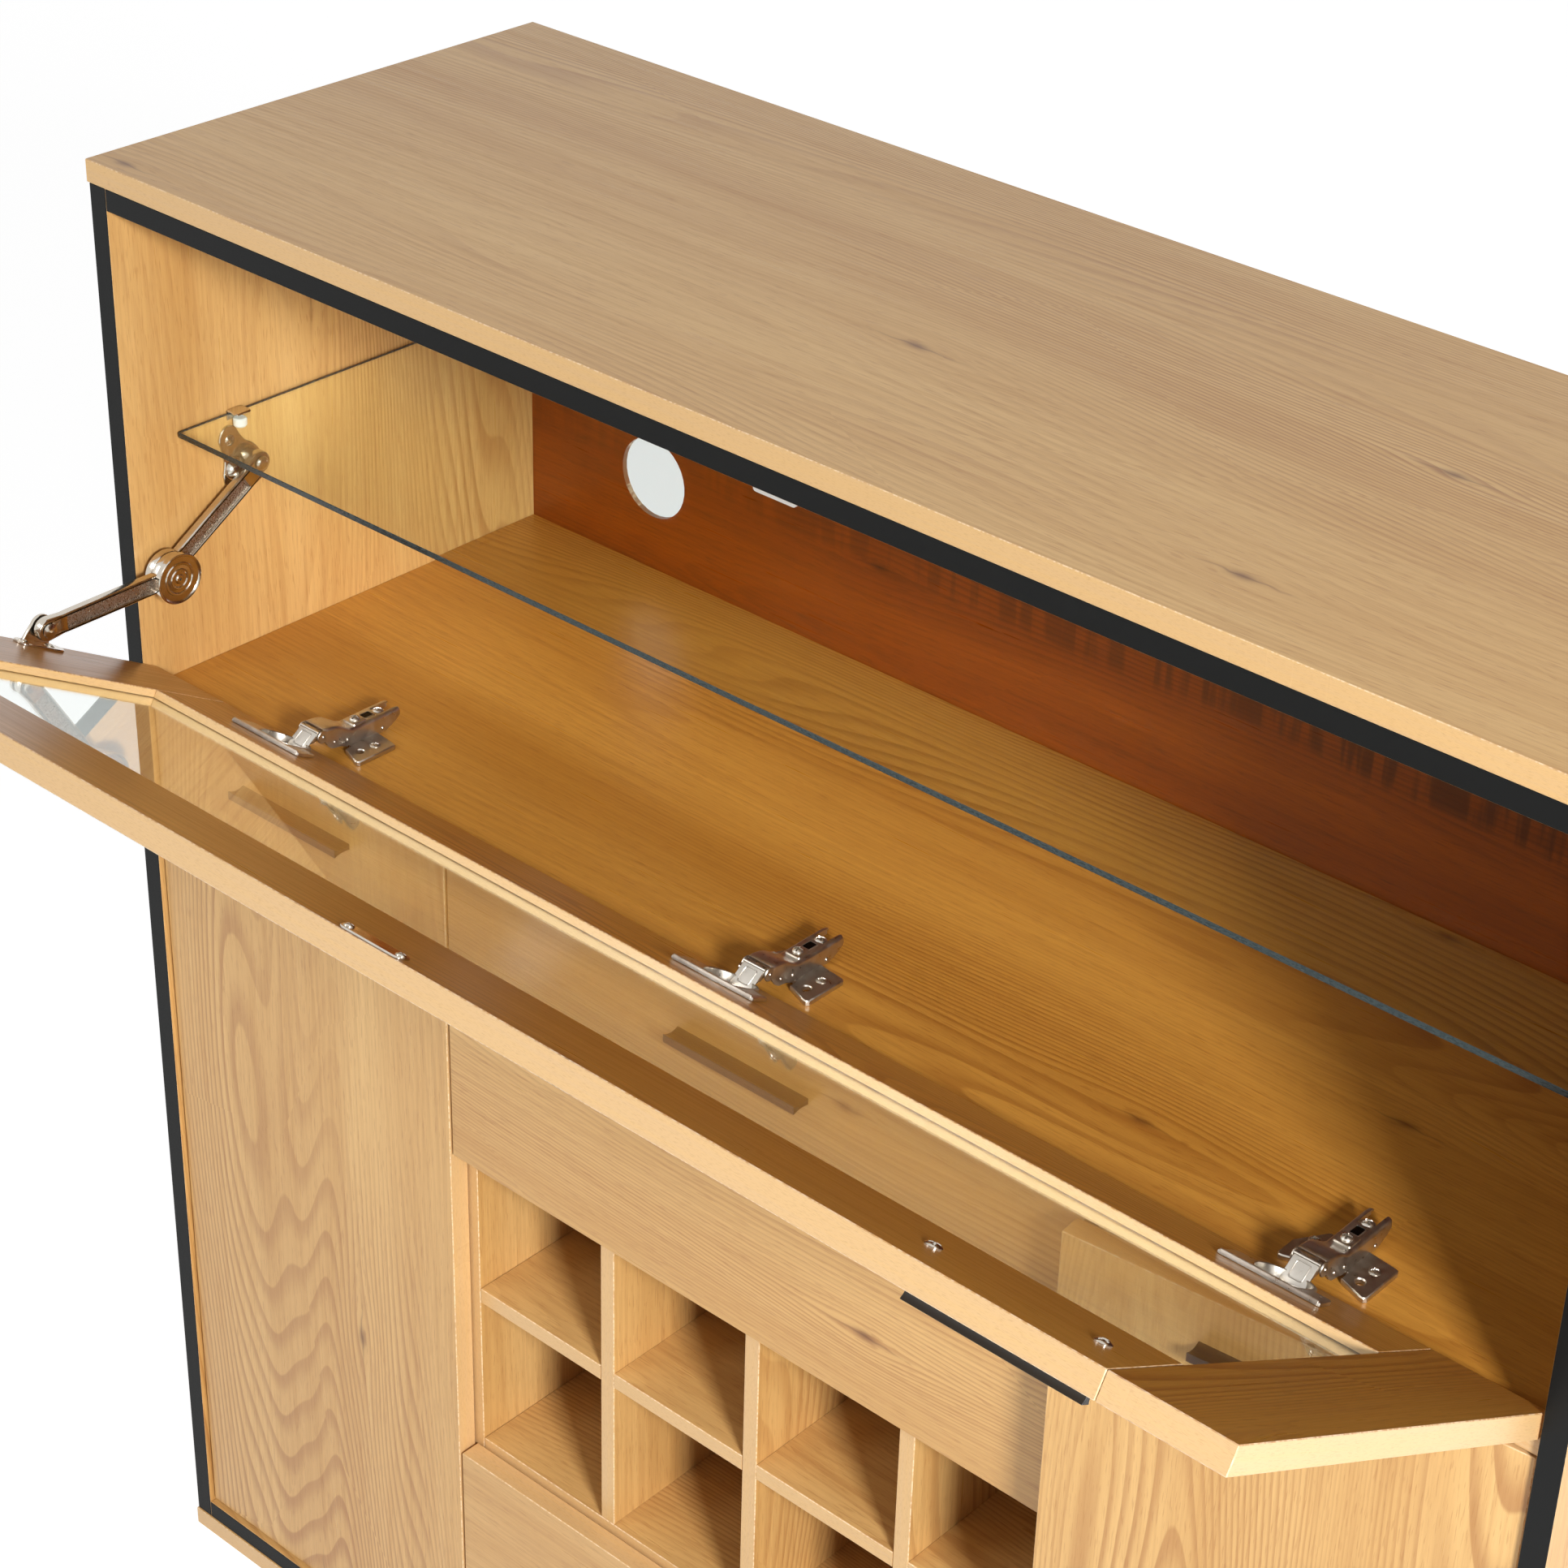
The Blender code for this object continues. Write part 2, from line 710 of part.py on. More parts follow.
def build_stay(side_name, side):
    """The folding stay, at rest with the flap down. Local Y of each arm's body runs along it."""
    wall_x = inner_half
    wall = Vector((front + stay_wall_pivot_depth, deck_top + stay_wall_pivot_rise))
    shut = Vector((face_back + stay_flap_pivot_reach, flap_low + stay_flap_pivot_rise))
    centre = Vector(flap_pivot[1:])
    turn = Matrix.Rotation(flap_open, 2)
    reach = centre + turn @ (shut - centre)
    elbow = elbow_of(wall, reach)

    first = (wall_x - stay_first_layer, wall_x - stay_first_layer - stay_layer)
    second = (first[1] - fit, first[1] - fit - stay_layer)

    upper = Body(f"{side_name}_upper_arm_joint", (0.0, wall.x, wall.y), parent=cabinet)
    upper.empty.rotation_euler = (heading(elbow - wall), 0.0, 0.0)
    upper.pivot = Vector()
    lower = Body(f"{side_name}_lower_arm_joint", (0.0, shut.x, shut.y), parent=flap)
    lower.empty.rotation_euler = (heading(elbow - reach) - flap_open, 0.0, 0.0)
    lower.pivot = Vector()

    name = f"{side_name}_stay_upper_arm"
    arm = link(name, first, side, upper_arm_length, stay_end_radius, stay_elbow_radius, upper,
               first[1])
    trim_link(arm, name, side, first, upper_arm_length, stay_end_radius, stay_elbow_radius, upper)
    cut(arm, prism(name + "_hole", circle((0.0, 0.0), stay_pin_radius + fit, 16),
                   [side * (first[0] + overrun), side * (first[1] - overrun)], "X", upper))
    rounded(arm)

    name = f"{side_name}_stay_lower_arm"
    arm = link(name, second, side, lower_arm_length, stay_end_radius, stay_elbow_radius, lower,
               second[1])
    trim_link(arm, name, side, second, lower_arm_length, stay_end_radius, stay_elbow_radius, lower)
    cut(arm, prism(name + "_hole", circle((0.0, 0.0), stay_pin_radius + fit, 16),
                   [side * (second[0] + overrun), side * (second[1] - overrun)], "X", lower))
    disc = prism(name + "_disc", circle((lower_arm_length, 0.0), stay_disc_radius),
                 [side * (second[1] + arris), side * (second[1] - stay_disc_thickness)], "X", lower)
    unite(arm, disc)
    rounded(arm)

    build_wall_bracket(side_name, side, wall, first)
    build_flap_bracket(side_name, side, shut, second)


def pinned(piece, name, centre, side, start, arm_end, body):
    """Add the rivet that an arm turns on, with its head past the arm."""
    unite(piece, prism(name + "_pin", circle(centre, stay_pin_radius, 16),
                       [side * start, side * (arm_end - fit - arris)], "X", body))
    return unite(piece, prism(name + "_head", circle(centre, stay_pin_head_radius, 16),
                              [side * (arm_end - fit), side * (arm_end - fit - stay_pin_head)],
                              "X", body))


def build_wall_bracket(side_name, side, wall, layer):
    """A lobed plate on the side panel with a boss for the upper arm."""
    name = f"{side_name}_stay_wall_bracket"
    low_shares = ((-1.0, 0.65), (-0.8, 1.0), (-0.5, 1.0), (-0.3, 0.7), (0.1, 0.4), (0.3, 0.0),
                  (0.1, -0.35), (-0.4, -0.5), (-0.8, -0.55), (-1.0, -0.4))
    plate_reach = stay_wall_pivot_depth * wall_plate_share
    outline = [(wall.x + y * plate_reach, wall.y + z * plate_reach) for y, z in low_shares]
    start = inner_half - fit
    plate = prism(name, outline, [side * start, side * (start - wall_plate_thickness)], "X",
                  cabinet, nickel)
    boss = prism(name + "_boss", circle(wall, wall_boss_radius, 20),
                 [side * (start - arris), side * (layer[0] + fit)], "X", cabinet)
    unite(plate, boss)
    rounded(pinned(plate, name, wall, side, start - wall_plate_thickness / 2, layer[1], cabinet))


def build_flap_bracket(side_name, side, shut, layer):
    """A screwed plate on the flap with an upright lug for the lower arm."""
    name = f"{side_name}_stay_flap_bracket"
    lug_start = layer[0] + fit + lug_thickness
    seat = face_back + fit
    middle = shut.y - flap_plate_shift
    half = flap_plate_length / 2
    rim = flap_plate_width / 2
    base_middle = side * (layer[0] + fit - lug_thickness / 2)
    outline = capsule((base_middle, middle - half + rim), rim, (base_middle, middle + half - rim),
                      rim, 8)
    base = prism(name, outline, (seat, seat + flap_plate_thickness), "Y", flap, nickel)
    arc = [(shut.x + stay_end_radius * math.sin(t), shut.y + stay_end_radius * math.cos(t))
           for t in [math.radians(angle) for angle in range(0, 181, 20)]]
    lug_outline = [(seat + arris, shut.y + lug_half_base)] + arc + [(seat + arris, shut.y - lug_half_base)]
    lug = prism(name + "_lug", lug_outline, [side * lug_start, side * (layer[0] + fit)], "X", flap)
    unite(base, lug)
    rounded(pinned(base, name, shut, side, lug_start - lug_thickness / 2, layer[1], flap))


build_carcass()
build_back()
build_partitions()
build_rack()
build_cupboard_shelves()
build_glass_shelf()
build_catch()
doors = build_doors()
drawer("upper_drawer", upper_drawer, upper_front_low, door_high, upper_box_low)
drawer("lower_drawer", lower_drawer, door_low, lower_front_high, lower_box_low)
build_flap_hinges(build_flap())
build_door_hinges(doors)
build_stay("left", -1)
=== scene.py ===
"""Looks of the wine cabinet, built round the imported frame. Metres, front towards -Y."""
import math
from functools import reduce

import bmesh
import bpy
import numpy as np
from mathutils import Matrix, Vector
from mathutils.geometry import tessellate_polygon


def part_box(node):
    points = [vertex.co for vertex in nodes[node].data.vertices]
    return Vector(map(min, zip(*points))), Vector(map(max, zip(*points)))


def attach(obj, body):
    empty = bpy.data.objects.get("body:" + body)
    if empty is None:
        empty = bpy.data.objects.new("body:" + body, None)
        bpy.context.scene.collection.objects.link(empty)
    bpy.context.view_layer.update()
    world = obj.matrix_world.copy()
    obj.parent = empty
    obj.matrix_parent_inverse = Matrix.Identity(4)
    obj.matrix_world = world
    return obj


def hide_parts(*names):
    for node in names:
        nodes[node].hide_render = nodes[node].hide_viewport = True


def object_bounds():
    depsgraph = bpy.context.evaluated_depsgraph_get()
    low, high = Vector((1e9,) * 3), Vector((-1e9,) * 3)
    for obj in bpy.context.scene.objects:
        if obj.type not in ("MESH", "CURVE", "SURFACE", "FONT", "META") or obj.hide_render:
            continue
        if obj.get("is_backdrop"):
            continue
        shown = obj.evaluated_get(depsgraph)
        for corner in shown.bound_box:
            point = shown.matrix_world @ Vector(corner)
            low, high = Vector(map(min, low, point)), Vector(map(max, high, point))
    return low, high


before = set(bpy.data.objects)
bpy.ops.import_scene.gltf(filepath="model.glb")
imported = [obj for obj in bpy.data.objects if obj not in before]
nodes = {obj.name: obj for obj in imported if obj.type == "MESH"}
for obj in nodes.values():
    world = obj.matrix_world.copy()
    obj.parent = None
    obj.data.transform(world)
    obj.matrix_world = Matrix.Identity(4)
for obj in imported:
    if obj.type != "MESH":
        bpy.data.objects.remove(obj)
scene = bpy.context.scene
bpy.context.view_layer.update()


# Stage: a pale floor and a bright studio that is dim overhead, so the light comes from the
# front and the sides. The strongest box stands low to the right and throws the shade of the
# side panel and the dividers to the left and back.
def linear(red, green, blue):
    """Eight-bit screen values as the linear colour that a shader takes."""
    share = np.array((red, green, blue)) / 255
    curve = np.where(share <= 0.04045, share / 12.92, ((share + 0.055) / 1.055) ** 2.4)
    return (*curve.tolist(), 1.0)


class Graph:
    """A node tree that is filled by calls: each adds one node and gives back its output."""

    def __init__(self, tree):
        self.tree = tree

    def add(self, kind, inputs=None, output=0, **settings):
        """Adds a shader or group node, sets or links its inputs and gives back an output."""
        prefix = "" if kind.startswith("NodeGroup") else "ShaderNode"
        node = self.tree.nodes.new(prefix + kind)
        for key, value in settings.items():
            setattr(node, key, value)
        for key, value in (inputs or {}).items():
            if isinstance(value, bpy.types.NodeSocket):
                self.tree.links.new(value, node.inputs[key])
            else:
                node.inputs[key].default_value = value
        return node.outputs[output] if node.outputs else node

    def math(self, operation, first, second=0.0):
        """What a Math node makes of two values."""
        return self.add("Math", {0: first, 1: second}, operation=operation)

    def product(self, *values):
        """The values multiplied."""
        return reduce(lambda total, value: self.math("MULTIPLY", total, value), values)

    def sum(self, *values):
        """The values added."""
        return reduce(lambda total, value: self.math("ADD", total, value), values)

    def fit(self, value, low, high, to_low=0.0, to_high=1.0):
        """The value's way from low to high, carried over to another range and kept in it."""
        return self.add("MapRange", {"Value": value, "From Min": low, "From Max": high,
                                     "To Min": to_low, "To Max": to_high})

    def blur(self, value, low, high):
        """A soft step from 0 at low to 1 at high."""
        return self.add("MapRange", {"Value": value, "From Min": low, "From Max": high},
                        interpolation_type="SMOOTHSTEP")

    def mix(self, share, first, second):
        """Two colours mixed."""
        return self.add("Mix", {0: share, 6: first, 7: second}, 2, data_type="RGBA")

    def choose(self, share, first, second):
        """Two values mixed."""
        return self.add("Mix", {0: share, 2: first, 3: second}, 0, data_type="FLOAT")

    def finish(self, kind, inputs, end="OutputMaterial"):
        """Adds the last shader and joins it to the tree's output."""
        self.add(end, {"Surface": self.add(kind, inputs)})

    def split(self, vector):
        """A vector's three parts."""
        node = self.add("SeparateXYZ", {0: vector}).node
        return [node.outputs[axis] for axis in range(3)]

    def noise(self, x, y, z, scales, detail=1.0, roughness=0.5):
        """Noise over three values, each at its own scale in cells per metre, or all at one."""
        scales = scales if isinstance(scales, tuple) else (scales,) * 3
        scaled = [self.product(value, scale) for value, scale in zip((x, y, z), scales)]
        place = self.add("CombineXYZ", dict(enumerate(scaled)))
        return self.add("TexNoise", {"Vector": place, "Scale": 1.0, "Detail": detail,
                                     "Roughness": roughness})

    def place(self, kind="Object", turn=None):
        """Object coordinates or normals, taken back by a matrix where a board lies turned."""
        vector = self.add("TexCoord", output=kind)
        if turn:
            move = turn.translation if kind == "Object" else (0.0, 0.0, 0.0)
            vector = self.add("Mapping", {"Vector": vector, "Location": move,
                                          "Rotation": turn.to_euler()})
        return self.split(vector)


def new_material(name):
    """An empty material as a graph."""
    material = bpy.data.materials.new(name)
    material.use_nodes = True
    material.node_tree.nodes.clear()
    return material, Graph(material.node_tree)


def studio_rays(graph):
    """1 for rays that show the background: seen straight, mirrored or through glass."""
    path = graph.add("LightPath").node.outputs
    mirrored = graph.math("MAXIMUM", path["Is Glossy Ray"], path["Is Transmission Ray"])
    return graph.math("MAXIMUM", path["Is Camera Ray"], mirrored)


floor_reach, floor_drop, floor_glow = 30.0, 0.0005, 0.90
floor_material, graph = new_material("studio_floor")
mottle = graph.noise(*graph.place(), 6.0, detail=3.0)
lit = graph.add("BsdfDiffuse",
                {"Color": graph.mix(mottle, linear(232, 231, 229), linear(238, 237, 235))})
shaded = graph.add("BsdfDiffuse", {"Color": linear(165, 165, 165)})
glow = graph.add("Emission", {"Color": linear(255, 255, 255), "Strength": floor_glow})
seen_floor = graph.add("AddShader", {0: shaded, 1: glow})
graph.finish("MixShader", {0: studio_rays(graph), 1: lit, 2: seen_floor})
floor_mesh = bpy.data.meshes.new("studio_floor")
floor_mesh.from_pydata([(x * floor_reach, y * floor_reach, -floor_drop)
                        for x, y in ((-1, -1), (1, -1), (1, 1), (-1, 1))], [], [(0, 1, 2, 3)])
floor_mesh.materials.append(floor_material)
floor = bpy.data.objects.new("studio_floor", floor_mesh)
scene.collection.objects.link(floor)
floor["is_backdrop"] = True

front_light, rear_light, ceiling_light = 0.36, 0.75, 0.125
front_sky, rear_sky = -0.2, 0.7
wall_sky, ceiling_sky = 0.1, 0.75
world = bpy.data.worlds.new("studio")
scene.world = world
world.use_nodes = True
world.node_tree.nodes.clear()
graph = Graph(world.node_tree)
sky = graph.place("Generated")
wall_light = graph.fit(sky[1], front_sky, rear_sky, front_light, rear_light)
lamp_light = graph.choose(graph.fit(sky[2], wall_sky, ceiling_sky), wall_light, ceiling_light)
strength = graph.choose(studio_rays(graph), lamp_light, 1.0)
graph.finish("Background", {"Color": linear(255, 255, 255), "Strength": strength}, "OutputWorld")
scene.view_settings.view_transform = "Standard"


def soft_box(name, place, aim, size, power):
    """A square lamp that faces a point."""
    lamp = bpy.data.lights.new(name, "AREA")
    lamp.size = size
    lamp.energy = power
    holder = bpy.data.objects.new(name, lamp)
    holder.location = place
    holder.rotation_mode = "QUATERNION"
    holder.rotation_quaternion = (Vector(aim) - Vector(place)).to_track_quat("-Z", "Y")
    holder.visible_camera = False
    scene.collection.objects.link(holder)


soft_box("key_box", place=(3.07, -1.90, 2.33), aim=(0.0, -0.1, 0.75), size=0.65, power=180.0)
soft_box("left_box", place=(-1.3, -2.0, 2.2), aim=(0.1, -0.1, 0.7), size=0.8, power=12.0)

camera_data = bpy.data.cameras.new("camera")
camera_data.sensor_width = 36.0
camera_data.lens = 78.834
camera_data.shift_x = -0.0522
camera_data.shift_y = -0.0191
camera = bpy.data.objects.new("camera", camera_data)
camera_place = (1.09473, -1.39426, 1.87596)
camera_axes = Matrix(((0.753232, -0.356627, 0.552677),
                      (0.656758, 0.361508, -0.661806),
                      (0.036222, 0.861468, 0.506517)))
camera.matrix_world = Matrix.Translation(camera_place) @ camera_axes.to_4x4()
scene.collection.objects.link(camera)
scene.camera = camera


# Boards: wood-based panels faced with an oak print. The print's lines run along each
# board, part round its knots and close into pointed figures, and its edges carry lighter
# bands with short pores. Every board takes its own stretch of the print.
def new_group(name, inputs, outputs):
    """A node group with its sockets, as the group, its graph and what it is given."""
    group = bpy.data.node_groups.new(name, "ShaderNodeTree")
    for way, sockets in (("INPUT", inputs), ("OUTPUT", outputs)):
        for socket, kind in sockets.items():
            group.interface.new_socket(socket, in_out=way, socket_type="NodeSocket" + kind)
    graph = Graph(group)
    return group, graph, graph.add("NodeGroupInput").node.outputs


surface = {"Color": "Color", "Gloss": "Float", "Height": "Float"}
oak_group, graph, given = new_group("oak_print", {
    "Along": "Vector", "Facing": "Vector", "Offset": "Vector", "Light Wood": "Color",
    "Dark Wood": "Color", "Line Wood": "Color", "Knot Wood": "Color", "Band": "Color"}, surface)
x, y, z = graph.split(given["Along"])
facing = [graph.math("ABSOLUTE", axis) for axis in graph.split(given["Facing"])]
shift_x, shift_y, depth = graph.split(given["Offset"])
end_face = graph.math("GREATER_THAN", facing[0], 0.75)
band_face = graph.math("LESS_THAN", facing[2], 0.5)
print_x = graph.sum(x, shift_x)
print_y = graph.sum(y, shift_y)

# Knots: cells per metre along and across the grain, the share of them that holds no knot,
# and the half lengths and widths of the bend in the grain, of the knot and of its crack.
cells_along, cells_across, plain_share = 2.6, 7.0, 0.42
bend_half, knot_half, crack_half = (0.05, 0.013), (0.008, 0.0034), (0.026, 0.0008)
bend, crack_drift = 0.9, 0.0012
spread = graph.add("CombineXYZ", {0: graph.product(print_x, cells_along),
                                  1: graph.product(print_y, cells_across)})
cells = graph.add("TexVoronoi", {"Vector": spread, "Scale": 1.0, "Randomness": 0.9},
                  voronoi_dimensions="2D").node.outputs
away = graph.split(graph.add("VectorMath", {0: spread, 1: cells["Position"]},
                             operation="SUBTRACT"))
away_x = graph.math("DIVIDE", away[0], cells_along)
away_y = graph.math("DIVIDE", away[1], cells_across)
cell_value = graph.add("SeparateColor", {0: cells["Color"]})
knotted = graph.math("GREATER_THAN", cell_value, plain_share)


def ellipse(graph, x, y, half):
    """Square of the distance from the knot, in units of the two half axes."""
    return graph.sum(*(graph.math("POWER", graph.math("DIVIDE", value, size), 2.0)
                       for value, size in zip((x, y), half)))


def spot(graph, x, y, half):
    """e to the minus that square, in the cells that hold a knot."""
    square = ellipse(graph, x, y, half)
    return graph.product(knotted, graph.math("EXPONENT", graph.product(square, -1.0)))


push = graph.math("DIVIDE", graph.product(knotted, bend),
                  graph.sum(1.0, ellipse(graph, away_x, away_y, bend_half)))
bent_y = graph.math("SUBTRACT", print_y, graph.product(away_y, push))
knot = spot(graph, away_x, away_y, knot_half)
drift = graph.fit(graph.noise(print_x, print_y, depth, (60.0, 60.0, 1.0)), 0.3, 0.7,
                  -crack_drift, crack_drift)
crack = spot(graph, away_x, graph.sum(away_y, drift), crack_half)

# Rings: how many one unit of the slow noise, a metre of width and the waves add. The print
# darkens towards Line Wood by the depths of streaks, ring lines and pores.
slow_rings, width_rings, wave_rings = 62.0, 180.0, 0.7
streak_depth, ring_depth, pore_depth = 0.28, 0.62, 0.30
knot_depth, crack_depth, dash_depth = 0.7, 0.55, 0.22
slow = graph.noise(print_x, bent_y, depth, (0.85, 7.0, 1.0), roughness=0.35)
wave = graph.noise(print_x, bent_y, depth, (5.0, 20.0, 1.0))
rings = graph.sum(graph.product(slow, slow_rings), graph.product(bent_y, width_rings),
                  graph.product(wave, wave_rings))
ring = graph.math("FRACT", rings)
ring_line = graph.product(graph.blur(ring, 0.35, 0.88), graph.blur(ring, 1.0, 0.93))
tone = graph.noise(print_x, bent_y, depth, (0.8, 18.0, 1.0), detail=2.0)
streak = graph.noise(print_x, bent_y, depth, (7.0, 330.0, 1.0), detail=3.0, roughness=0.65)
pores = graph.blur(graph.noise(print_x, bent_y, depth, (70.0, 1100.0, 1.0)), 0.58, 0.70)
clear_lines = graph.fit(graph.noise(print_x, print_y, depth, (1.6, 8.0, 1.0)), 0.42, 0.66,
                        0.16, 1.0)
wood = graph.mix(graph.fit(tone, 0.25, 0.75), given["Light Wood"], given["Dark Wood"])
for share in (graph.fit(streak, 0.42, 0.72, 0.0, streak_depth),
              graph.product(ring_line, clear_lines, ring_depth), graph.product(pores, pore_depth)):
    wood = graph.mix(share, wood, given["Line Wood"])
for share in (graph.product(knot, knot_depth), graph.product(crack, crack_depth)):
    wood = graph.mix(share, wood, given["Knot Wood"])

# Edges: bands and dashes that run round the board, and a painted highlight that makes
# corners pale where a face looks along none of the axes.
run = graph.choose(end_face, x, y)
over = graph.choose(end_face, y, x)
dashes = graph.blur(graph.noise(run, z, over, (260.0, 3200.0, 3200.0)), 0.55, 0.68)
band_tone = graph.noise(run, z, over, (6.0, 420.0, 420.0), detail=2.0)
band = graph.mix(graph.fit(band_tone, 0.35, 0.65, 0.0, 0.45), given["Band"], given["Light Wood"])
band = graph.mix(graph.product(dashes, dash_depth), band, given["Line Wood"])
colour = graph.mix(band_face, wood, band)
widest = graph.math("MAXIMUM", graph.math("MAXIMUM", facing[0], facing[1]), facing[2])
corner = graph.math("LESS_THAN", widest, 0.9)
# Painted highlight: the chamfers along the arrises are made pale in spots.
painted_arris_highlight = graph.fit(graph.noise(run, z, over, (420.0, 200.0, 200.0)), 0.4, 0.6, 0.15, 0.6)
colour = graph.mix(graph.product(corner, painted_arris_highlight), colour, linear(250, 226, 190))
gloss = graph.fit(streak, 0.3, 0.7, 0.27, 0.37)
height = graph.math("SUBTRACT", graph.product(streak, 0.5), graph.product(pores, 0.5))
graph.add("NodeGroupOutput", {"Color": colour, "Gloss": gloss, "Height": height})

front_plane, foil_depth = -0.189, 0.0004
honey = {"Light Wood": linear(224, 182, 118), "Dark Wood": linear(203, 156, 92),
         "Line Wood": linear(158, 100, 46), "Knot Wood": linear(104, 56, 20),
         "Band": linear(218, 179, 127)}
# Painted shade: a darker, more saturated copy of the honey print that stands in for shade and warm
# light bounced inside the cabinet, for the deck and the flap's rear faces.
shaded_honey = {**honey, "Light Wood": linear(208, 149, 64), "Dark Wood": linear(180, 120, 43),
         "Line Wood": linear(136, 72, 16)}


def printed(graph, order, offset, colours, place, normal):
    """The oak print as a node. order gives the axes along, across and through the board."""
    group = graph.add("Group", node_tree=oak_group).node
    for socket, axes in (("Along", place), ("Facing", normal)):
        swapped = graph.add("CombineXYZ", {i: axes[axis] for i, axis in enumerate(order)})
        graph.tree.links.new(swapped, group.inputs[socket])
    group.inputs["Offset"].default_value = offset
    for key, value in colours.items():
        group.inputs[key].default_value = value
    return group


def oak(name, axes, offset, black_front=False, colours=honey, behind=None, turn=None, shine=0.5):
    """Oak-print board. axes names those that grain and thickness run in, behind holds the
    darker colours painted on the rear face as painted shade, and turn takes a leaning board back
    upright."""
    along, thick = ("xyz".index(axis) for axis in axes)
    order = (along, 3 - along - thick, thick)
    material, graph = new_material(name)
    place, normal = graph.place("Object", turn), graph.place("Normal", turn)
    group = printed(graph, order, offset, colours, place, normal)
    # Painted shade: faces that look towards +Y take the darker colours in behind.
    if behind:
        shaded_rear_face = graph.math("GREATER_THAN", normal[1], 0.5)
        for key, value in behind.items():
            graph.tree.links.new(graph.mix(shaded_rear_face, colours[key], value), group.inputs[key])
    colour, rough = group.outputs["Color"], group.outputs["Gloss"]
    if black_front:
        front = graph.math("LESS_THAN", place[1], front_plane + foil_depth)
        speck = graph.noise(*place, 900.0, detail=3.0)
        foil = graph.mix(graph.fit(speck, 0.35, 0.7), linear(6, 7, 7), linear(15, 16, 16))
        colour = graph.mix(front, colour, foil)
        rough = graph.choose(front, rough, graph.fit(speck, 0.3, 0.7, 0.55, 0.68))
        shine = graph.choose(front, shine, 0.22)
    bump = graph.add("Bump", {"Strength": 0.2, "Distance": 0.0003,
                              "Height": group.outputs["Height"]})
    graph.finish("BsdfPrincipled", {"Base Color": colour, "Roughness": rough, "Normal": bump,
                                    "Specular IOR Level": shine})
    return material


def dress(node, material):
    """Gives a CAD node its finished material."""
    slots = nodes[node].data.materials
    slots.clear()
    slots.append(material)


boards = {
    "top_panel": ("xz", 0.31, 0.12, 1.7),
    "bottom_panel": ("xz", 2.3, 0.55, 4.1),
    "left_side_panel": ("zx", 0.7, 3.2, 2.9),
    "right_side_panel": ("zx", 5.1, 0.9, 7.7),
    "top_front_rail": ("xz", 1.9, 4.4, 3.3),
    "floor_panel": ("xz", 3.7, 2.6, 9.5),
    "deck": ("xz", 4.6, 1.35, 5.2),
    "left_partition": ("zx", 1.3, 6.1, 3.9),
    "right_partition": ("zx", 2.7, 7.3, 1.1),
    "rack_floor_panel": ("xz", 7.9, 2.2, 6.3),
    "rack_top_panel": ("xz", 8.8, 4.9, 2.1),
    "rack_shelf": ("xz", 9.7, 1.6, 8.5),
    "rack_divider_1": ("zx", 3.3, 9.2, 5.5),
    "rack_divider_2": ("zx", 6.2, 8.1, 7.4),
    "rack_divider_3": ("zx", 8.5, 5.3, 9.9),
    "left_cupboard_shelf": ("xz", 5.9, 7.7, 1.9),
    "right_cupboard_shelf": ("xz", 6.6, 3.4, 2.8),
    "left_door": ("zy", 2.2, 1.7, 4.7),
    "right_door": ("zy", 0.4, 2.9, 6.9),
    "upper_drawer_front": ("xy", 4.3, 0.3, 3.6),
    "lower_drawer_front": ("xy", 6.9, 4.2, 8.1),
    "upper_drawer_box": ("xy", 2.5, 8.6, 7.1),
    "lower_drawer_box": ("xy", 1.1, 5.9, 4.4),
}
foiled = ("left_side_panel", "right_side_panel", "top_front_rail", "floor_panel")
# The deck takes the darker, more saturated copy of the print, as painted shade and painted bounce
# light.
for name, (axes, *offset) in boards.items():
    dress(name, oak(name + "_oak", axes, offset, name in foiled,
                    shaded_honey if name == "deck" else honey))

# Back panel: a thin board with a dark red-brown print, let into a groove all round. The
# print's grain runs across, and a band of short upright flames runs along the bay.
redwood = {"Light Wood": linear(168, 82, 13), "Dark Wood": linear(130, 56, 8),
           "Line Wood": linear(70, 28, 6), "Knot Wood": linear(44, 18, 8),
           "Band": linear(150, 110, 70)}
flame_foot, flame_tip, flame_sway, flame_depth = (0.838, 0.850), (0.905, 0.888), 0.04, 0.7
material, graph = new_material("back_panel_wood")
place, normal = graph.place(), graph.place("Normal")
group = printed(graph, (0, 2, 1), (3.1, 0.77, 6.6), redwood, place, normal)
level = graph.sum(place[2], graph.product(graph.noise(*place, (4.0, 0.0, 0.0)), flame_sway))
flame_band = graph.product(graph.blur(level, *flame_foot), graph.blur(level, *flame_tip),
                           graph.fit(place[0], -0.35, 0.20, 0.25, 1.0),
                           graph.math("LESS_THAN", normal[1], -0.5))
flames = graph.blur(graph.noise(*place, (110.0, 0.0, 9.0), detail=2.0), 0.42, 0.58)
colour = graph.mix(graph.product(flame_band, flames, flame_depth), group.outputs["Color"],
                   linear(46, 20, 8))
graph.finish("BsdfPrincipled", {"Base Color": colour, "Roughness": group.outputs["Gloss"]})
dress("back_panel", material)


# Finger pulls: black extruded metal, hollow above and below, with a lip to pull on. Each
# is held by two screws 96 mm apart that come through the board from behind.
mm = 0.001


def skin(rings):
    """Closed loops joined one after the other by quads, with a face on the first and last."""
    rings = np.asarray(rings, float)
    rows, columns = rings.shape[:2]
    index = np.arange(rows * columns).reshape(rows, columns)
    near, far = index[:-1], index[1:]
    quads = np.stack((near, np.roll(near, -1, 1), np.roll(far, -1, 1), far), -1).reshape(-1, 4)
    return rings.reshape(-1, 3), [*quads.tolist(), index[0][::-1].tolist(), index[-1].tolist()]


